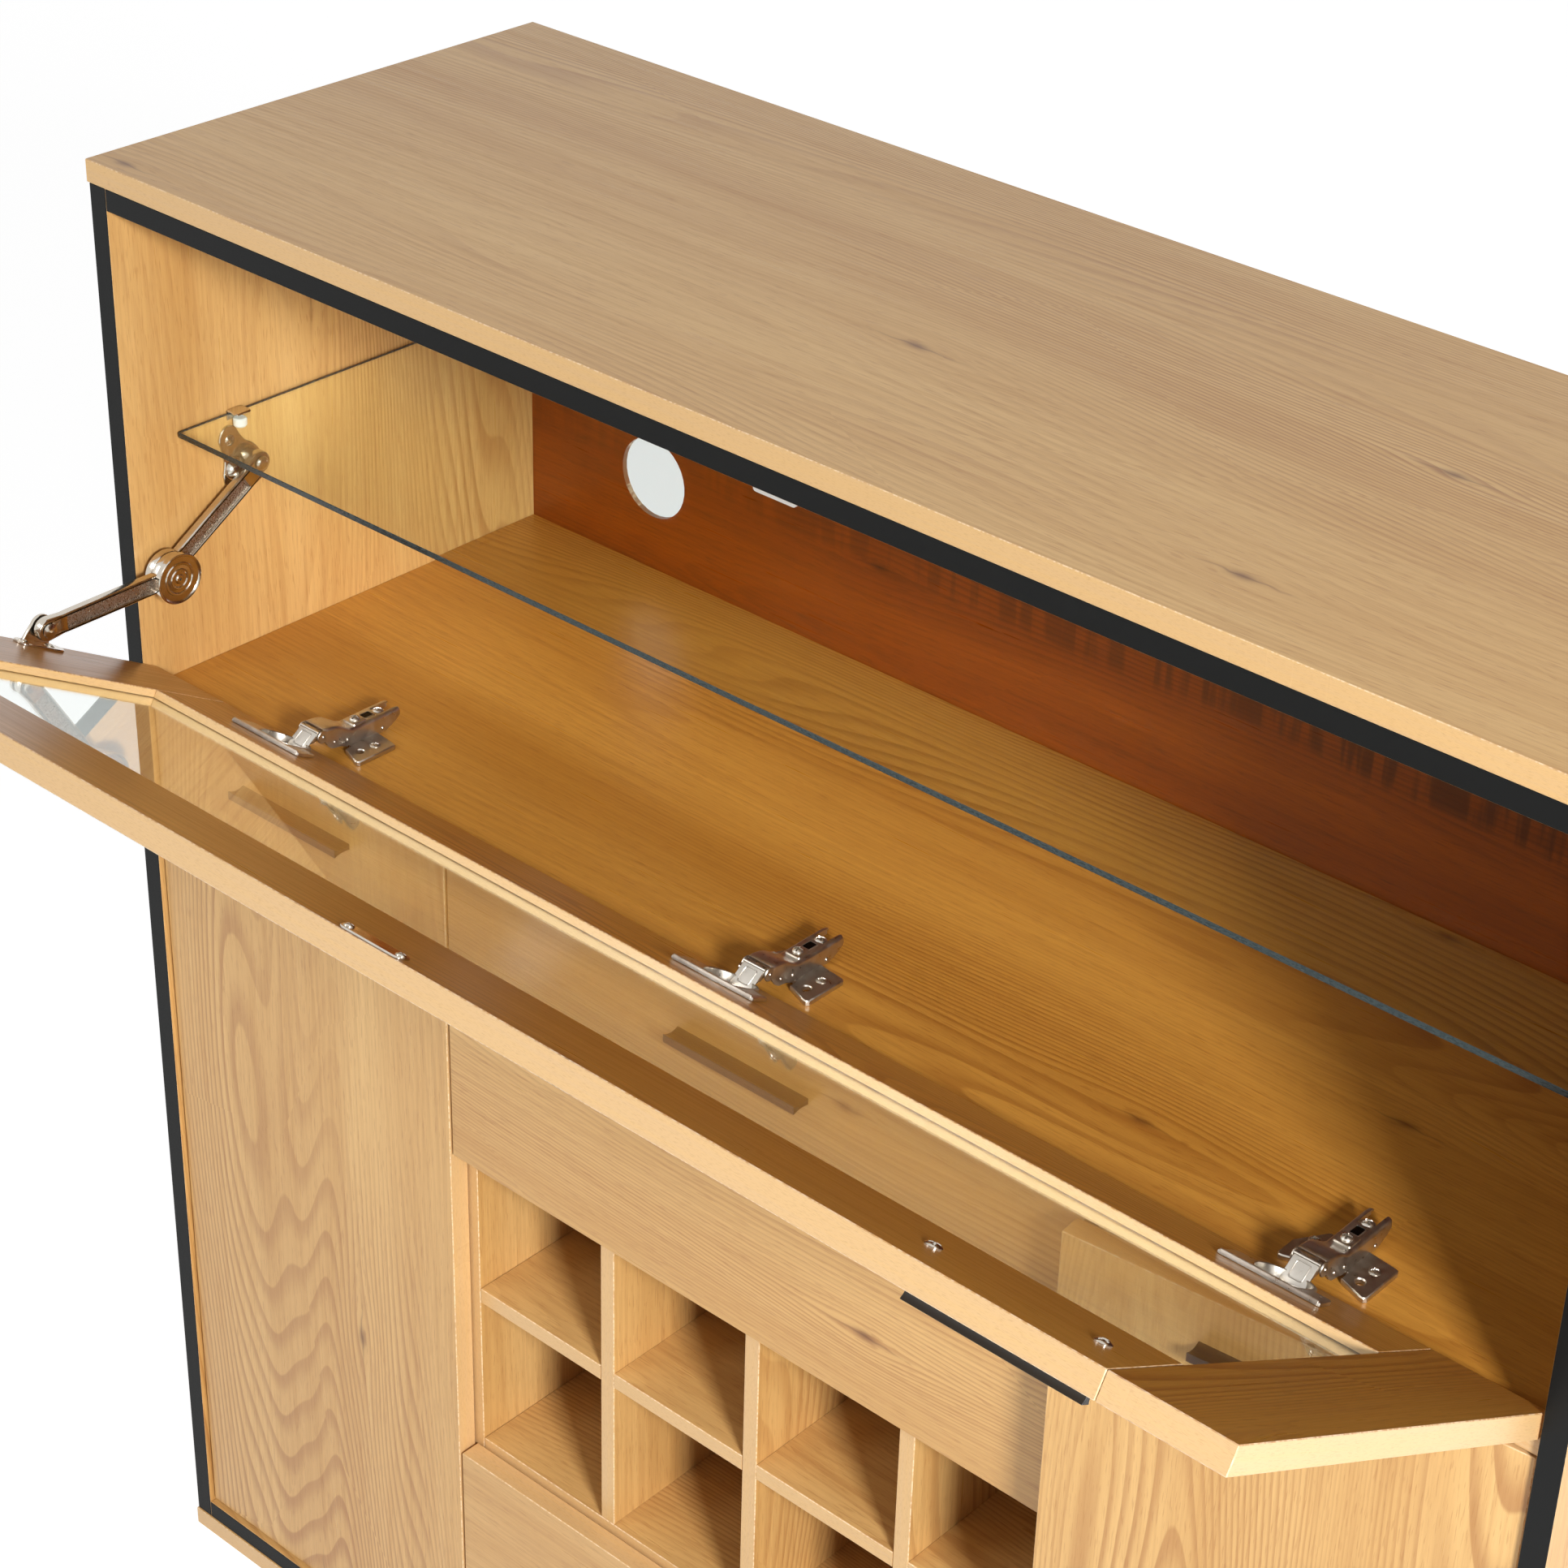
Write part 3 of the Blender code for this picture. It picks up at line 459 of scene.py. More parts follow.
def shift(x, y, z):
    """A move without a turn."""
    return Matrix.Translation((x, y, z))


def hinged(point, angle, axis):
    """A turn in degrees about the axis line through a point."""
    return shift(*point) @ Matrix.Rotation(math.radians(angle), 4, axis) @ shift(*-point)


def moved(shell, matrix):
    """A shell set elsewhere: p becomes R p + t."""
    array = np.array(matrix.to_4x4())
    return shell[0] @ array[:3, :3].T + array[:3, 3], shell[1]


def make_piece(name, shells, matrix, material, body, replaced=None, sharp=35.0):
    """Shells in millimetres as one piece, set in place by a matrix in metres."""
    points, faces, start = [], [], 0
    for vertices, shell_faces in shells:
        points.append(vertices)
        faces += [[corner + start for corner in face] for face in shell_faces]
        start += len(vertices)
    points, faces = moved((np.concatenate(points) * mm, faces), matrix)
    mesh = bpy.data.meshes.new(name)
    mesh.from_pydata(points.tolist(), [], faces)
    solid = bmesh.new()
    solid.from_mesh(mesh)
    bmesh.ops.recalc_face_normals(solid, faces=solid.faces)
    solid.to_mesh(mesh)
    solid.free()
    mesh.shade_smooth()
    mesh.set_sharp_from_angle(angle=math.radians(sharp))
    mesh.materials.append(material)
    piece = bpy.data.objects.new(name, mesh)
    scene.collection.objects.link(piece)
    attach(piece, body)
    if replaced:
        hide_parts(replaced)
    return piece


def screw_head(radius, height, turn, cross=0.62, place=(0, 0, 0)):
    """Domed head: the height falls with the power 2.4 of the radius, and a cross is sunk in
    it whose arms reach to the given share of the radius."""
    angle = np.linspace(0, 2 * np.pi, 48, endpoint=False)
    reach = radius * np.concatenate((np.linspace(0.03, 0.72, 14), (0.8, 0.88, 0.95, 1.0)))[:, None]
    x, y = reach * np.cos(angle), reach * np.sin(angle)
    dome = height * (1 - 0.7 * (reach / radius) ** 2.4) + 0 * angle

    def slot_share(across, along):
        """1 in a slot along one axis, with short slopes to 0 at its sides and ends."""
        wide = np.clip((radius * 0.13 - np.abs(across)) / (radius * 0.06) + 0.5, 0, 1)
        long = np.clip((radius * cross - np.abs(along)) / (radius * 0.12) + 0.5, 0, 1)
        return wide * long

    sunk = np.maximum(slot_share(x, y), slot_share(y, x)) * height * 0.75
    rings = np.stack((x, y, dome - sunk), -1)
    foot = np.stack((x[-1], y[-1], 0 * angle), -1)[None]
    seat = shift(*place) @ Matrix.Rotation(turn, 4, "Z")
    return moved(skin(np.concatenate((rings, foot))), seat)


cloud_group, graph, given = new_group("clouded_surface", {
    "Place": "Vector", "Scale": "Vector", "Detail": "Float", "Grain": "Float",
    "First Color": "Color", "Second Color": "Color", "Smooth": "Float", "Rough": "Float"}, surface)
scaled = graph.add("VectorMath", {0: given["Place"], 1: given["Scale"]},
                   operation="MULTIPLY")
cloud = graph.add("TexNoise", {"Vector": scaled, "Scale": 1.0, "Detail": given["Detail"],
                               "Roughness": given["Grain"]})
graph.add("NodeGroupOutput", {
    "Color": graph.mix(cloud, given["First Color"], given["Second Color"]),
    "Gloss": graph.fit(cloud, 0.3, 0.7, given["Smooth"], given["Rough"]), "Height": cloud})


def clouded(name, scale, colours, gloss, detail=1.0, grain=0.5, metal=0.0, dents=None):
    """A material whose colour and roughness drift with one noise, which may also dent it
    with a strength and a depth."""
    material, graph = new_material(name)
    cloud = graph.add("Group", {
        "Place": graph.add("TexCoord", output="Object"), "Scale": scale,
        "Detail": detail, "Grain": grain, "First Color": linear(*colours[0]),
        "Second Color": linear(*colours[1]), "Smooth": gloss[0], "Rough": gloss[1]},
        node_tree=cloud_group).node.outputs
    inputs = {"Base Color": cloud["Color"], "Roughness": cloud["Gloss"], "Metallic": metal}
    if dents:
        inputs["Normal"] = graph.add("Bump", {
            "Strength": dents[0], "Distance": dents[1], "Height": cloud["Height"]})
    graph.finish("BsdfPrincipled", inputs)
    return material


pull_black = clouded("pull_black", (8.0, 260.0, 260.0), ((20, 18, 17), (34, 31, 29)),
                     (0.30, 0.42), detail=2.0)
nickel = clouded("bright_nickel", (160.0,) * 3, ((196, 186, 172), (216, 208, 196)),
                 (0.10, 0.22), detail=3.0, metal=1.0)

# The boards' front and rear faces and edges in metres, as they hang when closed.
face, face_back = -0.1855, -0.1705
flap_low, flap_high, door_high, lower_front_high = 0.749, 1.079, 0.7335, 0.2526
flap_turn = hinged(Vector((0.0, -0.1836, 0.7471)), 60.0, "X")
ajar_turn = hinged(Vector((0.530, -0.184, 0.0)), 5.2, "Z")
closed = Matrix.Identity(4)
pull_drop, screw_drop = 0.0315, 0.033

# A pull's section in millimetres: root and lip are joined by hollows above and below.
pull_half, pull_reach, screw_half, box_wall = 52.0, 12.7, 48.0, 12.3
root_half, lip_growth, top_hollow, under_hollow = 2.3, 0.8, 8.0, 4.8
share = np.linspace(0, 1, 11)
half_height = root_half + lip_growth * share
sag = share * (1 - share)
top_line = np.stack((-pull_reach * share, half_height - top_hollow * sag), -1)
under_line = np.stack((-pull_reach * share, under_hollow * sag - half_height), -1)[::-1]
pull_section = np.concatenate((top_line, under_line))
pull_shell = skin([np.column_stack((np.full(len(pull_section), x), pull_section))
                   for x in (-pull_half, pull_half)])
screw_turn = Matrix.Rotation(math.radians(-90), 4, "X")
pulls = (("flap_pull_left", -0.394, flap_high, flap_turn, "flap", 0.0),
         ("flap_pull_right", 0.394, flap_high, flap_turn, "flap", 0.0),
         ("left_door_pull", -0.393, door_high, closed, "left_door", 0.0),
         ("right_door_pull", 0.393, door_high, ajar_turn, "right_door", 0.0),
         ("upper_drawer_pull", 0.0, door_high, closed, "upper_drawer", box_wall),
         ("lower_drawer_pull", 0.0, lower_front_high, closed, "lower_drawer", box_wall))
for name, middle, top, turn, body, wall in pulls:
    seat = turn @ shift(middle, face, top - pull_drop)
    piece = make_piece(name + "_bar", [pull_shell], seat, pull_black, body, name)
    bevel = piece.modifiers.new("edge", "BEVEL")
    bevel.width = 0.35 * mm
    bevel.segments = 2
    bevel.limit_method = "ANGLE"
    behind = turn @ shift(middle, face_back + wall * mm, top - screw_drop)
    heads = [moved(screw_head(4.7, 2.0, spin), shift(x, 0, 0) @ screw_turn)
             for x, spin in ((-screw_half, 0.5), (screw_half, 1.1))]
    make_piece(name + "_screws", heads, behind, nickel, body)

# Flap: a frame of 15 mm oak-print members, stiles full height and rails between them, with
# a clear pane in their grooves. It hangs on the deck and lies open on its stay.
members = {"flap_left_stile": ("zy", 9.1, 3.8, 5.8), "flap_right_stile": ("zy", 4.9, 6.4, 2.4),
           "flap_hinge_rail": ("xy", 3.1, 7.1, 6.1), "flap_free_rail": ("xy", 5.5, 9.4, 3.1)}
# The members' rear faces take the darker copy of the print, as painted shade.
for name, (axes, *offset) in members.items():
    dress(name, oak(name + "_oak", axes, offset, behind=shaded_honey, turn=flap_turn.inverted(),
                    shine=0.9))

clear_glass, graph = new_material("clear_glass")
tint = graph.mix(graph.noise(*graph.place(), 4.0), linear(243, 250, 246), linear(247, 252, 249))
pane = graph.add("BsdfPrincipled", {"Base Color": tint, "Roughness": 0.0, "IOR": 1.5,
                                    "Transmission Weight": 1.0})
passed = graph.add("BsdfTransparent", {"Color": linear(246, 250, 247)})
to_lamp = graph.add("LightPath").node.outputs["Is Shadow Ray"]
graph.finish("MixShader", {0: to_lamp, 1: pane, 2: passed})
dress("flap_glass", clear_glass)


# Strike plate and catch: a nickel plate on the flap meets a white magnetic catch that is
# screwed under the top rail.
def rounded_box(half_x, half_y, radius, steps=5):
    """An outline with four round corners, counter-clockwise."""
    corner = np.linspace(0, np.pi / 2, steps)
    quarters = enumerate(((1, 1), (-1, 1), (-1, -1), (1, -1)))
    parts = [np.stack((sx * (half_x - radius) + radius * np.cos(corner + quarter * np.pi / 2),
                       sy * (half_y - radius) + radius * np.sin(corner + quarter * np.pi / 2)), -1)
             for quarter, (sx, sy) in quarters]
    return np.concatenate(parts)


def circle(x, y, radius, steps=24):
    """Points a radius away from a centre, at equal steps of angle."""
    angle = np.linspace(0, 2 * np.pi, steps, endpoint=False)
    return np.stack((x + radius * np.cos(angle), y + radius * np.sin(angle)), -1)


def holed_plate(outline, holes, levels):
    """A plate by levels of (inset, height): at each, every loop moves into the metal along
    its corner normals by the inset. Quads join the levels and tessellated caps close them."""
    loops = []
    for number, loop in enumerate([outline, *holes]):
        loop = np.asarray(loop, float)
        x, y = loop.T
        area = np.sum(x * np.roll(y, -1) - y * np.roll(x, -1))
        loops.append(loop if (area > 0) == (number == 0) else loop[::-1])
    points, faces = [], []
    total = sum(len(loop) for loop in loops)
    for inset, height in levels:
        for loop in loops:
            way = np.roll(loop, -1, 0) - np.roll(loop, 1, 0)
            way /= np.linalg.norm(way, axis=1, keepdims=True)
            inward = np.stack((-way[:, 1], way[:, 0]), -1)
            points.append(np.column_stack((loop + inset * inward, np.full(len(loop), height))))
    for level in range(len(levels) - 1):
        start = level * total
        for loop in loops:
            near = start + np.arange(len(loop))
            far = near + total
            faces += np.stack((near, np.roll(near, -1), np.roll(far, -1), far), -1).tolist()
            start += len(loop)
    caps = tessellate_polygon([[Vector((*point, 0)) for point in loop] for loop in loops])
    last = (len(levels) - 1) * total
    faces += [list(triangle)[::-1] for triangle in caps]
    faces += [[corner + last for corner in triangle] for triangle in caps]
    return np.concatenate(points), faces


def laid(x, y, z, place=(0, 0, 0)):
    """The matrix that takes local X, Y and Z to three directions and zero to a place."""
    matrix = Matrix((x, y, z)).transposed().to_4x4()
    matrix.translation = place
    return matrix


def slab(half_x, half_y, radius, levels, place=(0, 0, 0)):
    """A plate with four round corners, set at a place."""
    return moved(holed_plate(rounded_box(half_x, half_y, radius), [], levels), shift(*place))


strike_drop, strike_lift, strike_screw = 0.007, 0.3 * mm, 19.2
strike_seat = flap_turn @ shift(0.0, face_back + strike_lift, flap_high - strike_drop)
flat_back = laid((1, 0, 0), (0, 0, -1), (0, 1, 0))
plate = slab(23, 6, 5.0, ((0, 0), (0, 0.7), (0.3, 1.0)))
heads = [screw_head(3.1, 1.5, 0.4, place=(x, 0, 0.9)) for x in (-strike_screw, strike_screw)]
make_piece("strike_plate_pressed", [plate, *heads], strike_seat @ flat_back, nickel, "flap",
           "strike_plate", sharp=30.0)

white_plastic = clouded("white_plastic", (700.0,) * 3, ((226, 226, 224), (238, 238, 236)),
                        (0.38, 0.5), detail=2.0)
low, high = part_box("magnetic_catch")
middle = (low + high) / 2
catch_seat = shift(middle.x, low.y, high.z)
drop = (high.z - low.z) / mm
case_half, case_depth, pole_heights = 15.5, 30.0, (-5.0, -10.4)
upright = Matrix.Rotation(math.radians(90), 4, "X")
body_plate = moved(slab(case_half, drop / 2, 2.2, ((0.4, 0), (0, -0.4), (0, -case_depth))),
                   shift(0, 0, -drop / 2) @ upright)
ear_holes = [circle(x, 2, 2.2) for x in (-20, 20)]
ear_plate = moved(holed_plate(rounded_box(24.0, 8.0, 3.0), ear_holes,
                              ((0.4, -2.5), (0, -2.1), (0, 0))), shift(0, 23.0, 0))
make_piece("magnetic_catch_case", [body_plate, ear_plate], catch_seat, white_plastic, "cabinet",
           "magnetic_catch")
steel_bars = [moved(slab(12.5, 1.0, 0.4, ((0, -0.5), (0, 0.35))), shift(0, 0, height) @ upright)
              for height in pole_heights]
make_piece("magnetic_catch_poles", steel_bars, catch_seat, nickel, "cabinet")

# Glass shelf: a 4 mm pane with ground, softly broken edges that look grey-green. It rests
# on white pads and is held down by four nickel clips on the side panels.
glass_edge = clouded("glass_edge", (300.0, 300.0, 900.0), ((22, 34, 36), (36, 50, 52)),
                     (0.22, 0.34), detail=2.0)
low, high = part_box("glass_shelf")
size = (high - low) / mm
shelf_shell = holed_plate(rounded_box(size.x / 2, size.y / 2, 1.5, 4), [],
                          ((0.5, 0), (0, 0.5), (0, size.z - 0.5), (0.5, size.z)))
shelf = make_piece("glass_shelf_pane", [shelf_shell],
                   shift((low.x + high.x) / 2, (low.y + high.y) / 2, low.z),
                   clear_glass, "cabinet", "glass_shelf")
shelf.data.materials.append(glass_edge)
facing = np.zeros(len(shelf.data.polygons) * 3)
shelf.data.polygons.foreach_get("normal", facing)
edge_faces = (np.abs(facing.reshape(-1, 3)[:, 2]) < 0.9).astype(int)
shelf.data.polygons.foreach_set("material_index", edge_faces)

# Each clip's tongue lies on the pane, its strap runs down the wall and its pad stands under
# the pane. They are hung from the top of the clip's box.
clip_half, tongue_drop, strap_drop, pad_drop, pad_out = 6.5, 1.2, 9.6, 14.0, 6.0
for name in ("glass_clip_left_front", "glass_clip_left_rear", "glass_clip_right_front",
             "glass_clip_right_rear"):
    low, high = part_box(name)
    inward = 1 if "left" in name else -1
    wall = low.x if inward > 0 else high.x
    seat = shift(wall, (low.y + high.y) / 2, 0) @ Matrix.Diagonal((inward, 1, 1, 1))
    crown = high.z / mm
    tongue = slab(5.5, clip_half, 2.2, ((0, 0), (0, 0.7), (0.5, 1.2)),
                  (5.5, 0, crown - tongue_drop))
    strap = slab(0.6, clip_half, 0.3, ((0, 0), (0, 9.0)), (0.6, 0, crown - strap_drop))
    make_piece(name + "_metal", [tongue, strap], seat, nickel, "cabinet", name, sharp=40.0)
    pad = moved(holed_plate(circle(0, 0, 4.6, 32), [], ((1.0, 0), (0, 1.2), (0, 5.4), (0.8, 6.2))),
                shift(pad_out, 0, crown - pad_drop))
    make_piece(name + "_pad", [pad], seat, white_plastic, "cabinet")


# Concealed hinges: a nickel arm on a winged plate, a cup with a screwed flange let into
# the moving board, and a pressed link between them. The link swings with the cup and
# folds into the open nose of the arm.
def lathe(profile, turns=40):
    """(radius, height) pairs turned about Z."""
    angle = np.linspace(0, 2 * np.pi, turns, endpoint=False)
    radius, height = np.asarray(profile, float).T[:, :, None]
    return skin(np.stack((radius * np.cos(angle), radius * np.sin(angle), height + 0 * angle), -1))


def quarter_turn(x, y, radius):
    """Points a radius away from a centre, from beside it to above it."""
    angle = np.linspace(0, np.pi / 2, 5)
    return np.stack((x + radius * np.cos(angle), y + radius * np.sin(angle)), -1)


def channel(stations, wall=1.2, radius=2.2):
    """An inverted channel: at each (back, half width, top, bottom) the section runs up one
    side, over the rounded top and down the other, then back at the wall's thickness."""
    rings = []
    for back, half, top, bottom in stations:
        sections = []
        for inset in (0.0, wall):
            foot = half - inset
            right = quarter_turn(half - radius, top - radius, radius - inset)
            left = right[::-1] * (-1, 1)
            sections.append(np.concatenate(([(foot, bottom)], right, left, [(-foot, bottom)])))
        loop = np.concatenate((sections[0], sections[1][::-1]))
        rings.append(np.column_stack((loop[:, 0], np.full(len(loop), back), loop[:, 1])))
    return skin(rings)


def half_channel(stations, side, slot_half, wall=1.2, radius=2.2):
    """One prong of the channel beside an open slot: a side wall and a strip of the top."""
    rings = []
    for back, half, top, bottom in stations:
        outer = quarter_turn(half - radius, top - radius, radius)
        inner = quarter_turn(half - radius, top - radius, radius - wall)
        loop = np.concatenate(([(half, bottom)], outer, [(slot_half, top), (slot_half, top - wall)],
                               inner[::-1], [(half - wall, bottom)]))
        rings.append(np.column_stack((side * loop[:, 0], np.full(len(loop), back), loop[:, 1])))
    return skin(rings)


# The arm in millimetres: X across it, Y back from the cabinet's front, Z off its board. Its
# slot, screws and block stand at these distances back.
arm_top, prong_gap = 14.2, 4.6
block_back, screw_back, slot_back, fork_back = 54.0, 51.5, 61.5, 71.0
arm_stations = ((18.4, 9.5, 24.0, 15.6), (19.4, 9.7, 24.4, 13.4), (21.4, 9.8, 24.2, 10.6),
                (24.0, 9.8, 23.8, 8.7), (27.0, 9.8, 23.2, 8.1), (31.0, 9.6, 21.8, 7.4),
                (35.0, 9.0, 19.2, 5.2), (40.0, 8.3, 15.8, 4.2), (44.0, 8.0, arm_top, 3.6),
                (58.0, 8.0, arm_top, 3.0), (68.0, 8.0, arm_top, 1.8))
prong_stations = ((68.0, 8.0, arm_top, 1.8), (72.0, 8.0, arm_top, 2.6), (76.0, 8.0, arm_top, 4.4),
                  (80.0, 8.0, arm_top, 6.6), (83.0, 7.7, 13.9, 8.4), (83.9, 7.2, 13.5, 9.2))
wing_side = ((9.0, 41.0), (9.0, 35.0), (9.6, 34.5), (24.4, 29.3), (26.6, 29.2), (28, 30.8),
             (28, 59.6), (27.3, 61.2), (25.6, 61.8), (9.0, 63.6))
far_side = (*wing_side[:6], (28, 44.5), (16.5, 62.4), wing_side[-1])
wing = np.array((*wing_side, *[(-x, y) for x, y in far_side[::-1]]))
wing_hole, wing_screw = (18.0, 39.4), (19.0, 51.6)
wings = holed_plate(wing, [circle(side * wing_hole[0], wing_hole[1], 2.7) for side in (-1, 1)],
                    ((0, 0.3), (0, 2.8), (0.6, 3.5)))
block = slab(6.7, 12.0, 1.5, ((0, 2.6), (0, arm_top - 1.8)), (0, block_back, 0))
pad = slab(5.8, 5.8, 1.6, ((0, 0), (0.5, 1.0), (1.0, 1.2)), (0, screw_back, arm_top - 0.1))
slot_rim = moved(holed_plate(rounded_box(3.4, 4.4, 0.8), [rounded_box(2.6, 3.6, 0.6)],
                             ((0, 0), (0.1, 0.35), (0.3, 0.5))),
                 shift(0, slot_back, arm_top - 0.1))
sideways = Matrix.Rotation(math.radians(90), 4, "Y")
rivet = lathe(((0.05, 1.0), (0.7, 0.85), (1.2, 0.45), (1.4, 0.0), (1.4, -1.0)), 16)
cheek = lathe(((0.1, 0.0), (4.1, 0.0), (4.4, 0.3), (4.4, 0.9), (4.1, 1.2), (0.1, 1.2)), 24)
rivet_places = ((cheek, 8.5, 17.0, 19.8), (rivet, 9.6, 17.0, 19.8), (rivet, 9.7, 26.0, 12.6),
                (rivet, 8.5, 37.6, 9.2), (rivet, 7.9, 68.0, 5.0))
rivets = [moved(shell, Matrix.Diagonal((side, 1, 1, 1)) @ shift(*place) @ sideways)
          for side in (-1, 1) for shell, *place in rivet_places]
arm_screws = [screw_head(3.5, 2.4, 0.3, 0.7, (0, screw_back, arm_top + 1.0)),
              screw_head(3.6, 2.2, 0.9, 0.7, (0, fork_back, arm_top - 0.8)),
              moved(lathe(((4.4, -3.0), (4.4, -1.0), (3.9, -0.7), (0.2, -0.7)), 24),
                    shift(0, fork_back, arm_top)),
              *[screw_head(3.5, 1.5, 0.7, place=(side * wing_screw[0], wing_screw[1], 3.3))
                for side in (-1, 1)]]
prongs = [half_channel(prong_stations, side, prong_gap) for side in (-1, 1)]
arm_shells = [channel(arm_stations), *prongs, pad, slot_rim, wings, block, *rivets, *arm_screws]
# Painted shade: a dark plate in the arm's slot stands for the shade inside it.
slot_shell = slab(2.7, 3.7, 0.6, ((0, 0), (0, 0.25)), (0, slot_back, arm_top - 0.1))

pressed_steel = clouded("pressed_steel", (240.0,) * 3, ((186, 178, 166), (212, 206, 196)),
                        (0.26, 0.40), detail=4.0, grain=0.6, metal=1.0)
painted_slot_shade = clouded("slot_shade", (900.0,) * 3, ((18, 14, 10), (34, 27, 20)), (0.4, 0.6), metal=1.0)

# The cup in millimetres about its bowl's centre, with Z off the board's back: the flange has
# an ear on each side, a round edge towards the hinge and a lip along its straight edge.
rim_radius, bowl_hole, lip_level, cup_height = 18.4, 16.0, 16.6, 21.5
ear_screw, ear_level = 26.0, 8.0
ear = ((17.9, -1.2), (27.0, -1.2), (29.4, 0.0), (30.6, 3.0), (32.0, 14.6), (31.5, 16.6),
       (29.8, 17.4))
arc = np.radians(np.linspace(184, 356, 19))
round_edge = rim_radius * np.stack((np.cos(arc), np.sin(arc)), -1)
flange_outline = np.concatenate((ear, np.array(ear)[::-1] * (-1, 1), round_edge))
flange = holed_plate(flange_outline, [circle(0, 0, bowl_hole, 40)],
                     ((0, 0.3), (0, 1.5), (0.3, 2.1), (0.6, 2.2)))
lip = slab(30.4, 0.8, 0.7, ((0, 0.3), (0, 2.9), (0.4, 3.3)), (0, lip_level, 0))
bowl = lathe(((0.2, -11.4), (15.2, -11.4), (16.4, -10.0), (16.6, 0.0), (16.6, 1.2), (16.3, 2.4),
              (15.8, 2.0), (15.4, -9.0), (14.2, -10.2), (0.2, -10.2)))
flange_screws = [screw_head(3.4, 1.0, 0.6, place=(x, ear_level, 1.2))
                 for x in (-ear_screw, ear_screw)]
upended = laid((1, 0, 0), (0, 0, 1), (0, 1, 0), (0, 0, cup_height))
cup_shells = [moved(shell, upended) for shell in (flange, lip, bowl, *flange_screws)]

# The link's outline as seen from the side, carried across the arm. Its face slopes, and
# bears a pressed ring and, further down, two dark plates of painted shade for holes beside the pin.
link_side = ((-6.5, 9.2), (-3.0, 8.6), (0.5, 7.6), (5.6, 5.2), (10.4, 2.9), (11.4, 2.3),
             (12.7, 1.0), (12.9, 0.4), (12.4, 0.1), (6.6, 0.2), (4.4, 2.2), (2.7, 5.4), (-6.5, 5.8))
press_place, pin_place, hole_side, hole_place = (4.6, 5.7), (11.2, 1.6), 5.9, (12.05, 1.65)
outward = laid((0, 1, 0), (0, 0, 1), (1, 0, 0))
link = moved(holed_plate(link_side, [], ((0.7, -8.1), (0.2, -7.8), (0, -7.3), (0, 7.3), (0.2, 7.8),
                                         (0.7, 8.1))), outward)


def sloped(first, last, place):
    """Local Y along the slope between two of the link's corners, at a place on it."""
    slope = Vector(np.subtract(link_side[last], link_side[first])).normalized()
    return laid((1, 0, 0), (0, slope.x, slope.y), (0, -slope.y, slope.x), place)


press = moved(holed_plate(rounded_box(4.6, 5.4, 1.6), [rounded_box(3.9, 4.7, 1.1)],
                          ((0, -0.4), (0, 0.15), (0.2, 0.35))), sloped(2, 4, (0, *press_place)))
roll_pin = moved(skin([np.column_stack((np.full(20, x), circle(0, 0, 1.3, 20)))
                       for x in (-8.2, 8.2)]), shift(0, *pin_place))
link_shells = [link, press, roll_pin]
# Painted shade: two dark plates stand for the holes beside the pin.
painted_hole_shades = [moved(slab(1.1, 0.8, 0.3, ((0, -0.3), (0, 0.12))), sloped(5, 6, (x, *hole_place)))
            for x in (-hole_side, hole_side)]

# Where the hinges sit in metres: three along the deck and two up each side.
inner_half, door_edge, deck_top = 0.535, 0.533, 0.747
flap_hinges, door_hinges = (-0.3851, 0.0, 0.3851), {"upper": 0.6435, "lower": 0.123}
hinges = []
for number, middle in enumerate(flap_hinges, start=1):
    arm_seat = shift(middle, front_plane, deck_top)
    cup_seat = flap_turn @ shift(middle, face_back, flap_low)
    hinges.append((f"flap_hinge_arm_{number}", f"flap_hinge_cup_{number}", arm_seat, cup_seat,
                   "flap"))
for word, side, turn in (("left", -1, closed), ("right", 1, ajar_turn)):
    inwards = (0, 0, 1), (0, 1, 0), (-side, 0, 0)
    for level, height in door_hinges.items():
        arm_seat = laid(*inwards, (side * inner_half, front_plane, height))
        cup_seat = turn @ laid(*inwards, (side * door_edge, face_back, height))
        hinges.append((f"{word}_door_hinge_{level}", f"{word}_door_cup_{level}", arm_seat, cup_seat,
                       word + "_door"))
for arm_node, cup_node, arm_seat, cup_seat, body in hinges:
    make_piece(arm_node + "_pressed", arm_shells, arm_seat, pressed_steel, "cabinet", arm_node)
    # The slot piece is the dark plate of painted shade in the arm's slot.
    make_piece(arm_node + "_slot", [slot_shell], arm_seat, painted_slot_shade, "cabinet")
    make_piece(cup_node + "_pressed", cup_shells, cup_seat, pressed_steel, body, cup_node)
    make_piece(cup_node + "_link", link_shells, cup_seat, pressed_steel, body)
    # The holes piece is the two dark plates of painted shade on the link.
    make_piece(cup_node + "_holes", painted_hole_shades, cup_seat, painted_slot_shade, body)

# Folding stay: two cast arms, hollowed and hammered on the side that shows, meet in a
# round elbow with a ringed cap. One is riveted to a lobed plate on the side panel, the
# other to a bent lug on the flap.
hammered = clouded("hammered_nickel", (1100.0,) * 3, ((150, 132, 112), (214, 206, 196)),
                   (0.2, 0.4), detail=2.0, grain=0.6, metal=1.0, dents=(0.9, 0.0006))

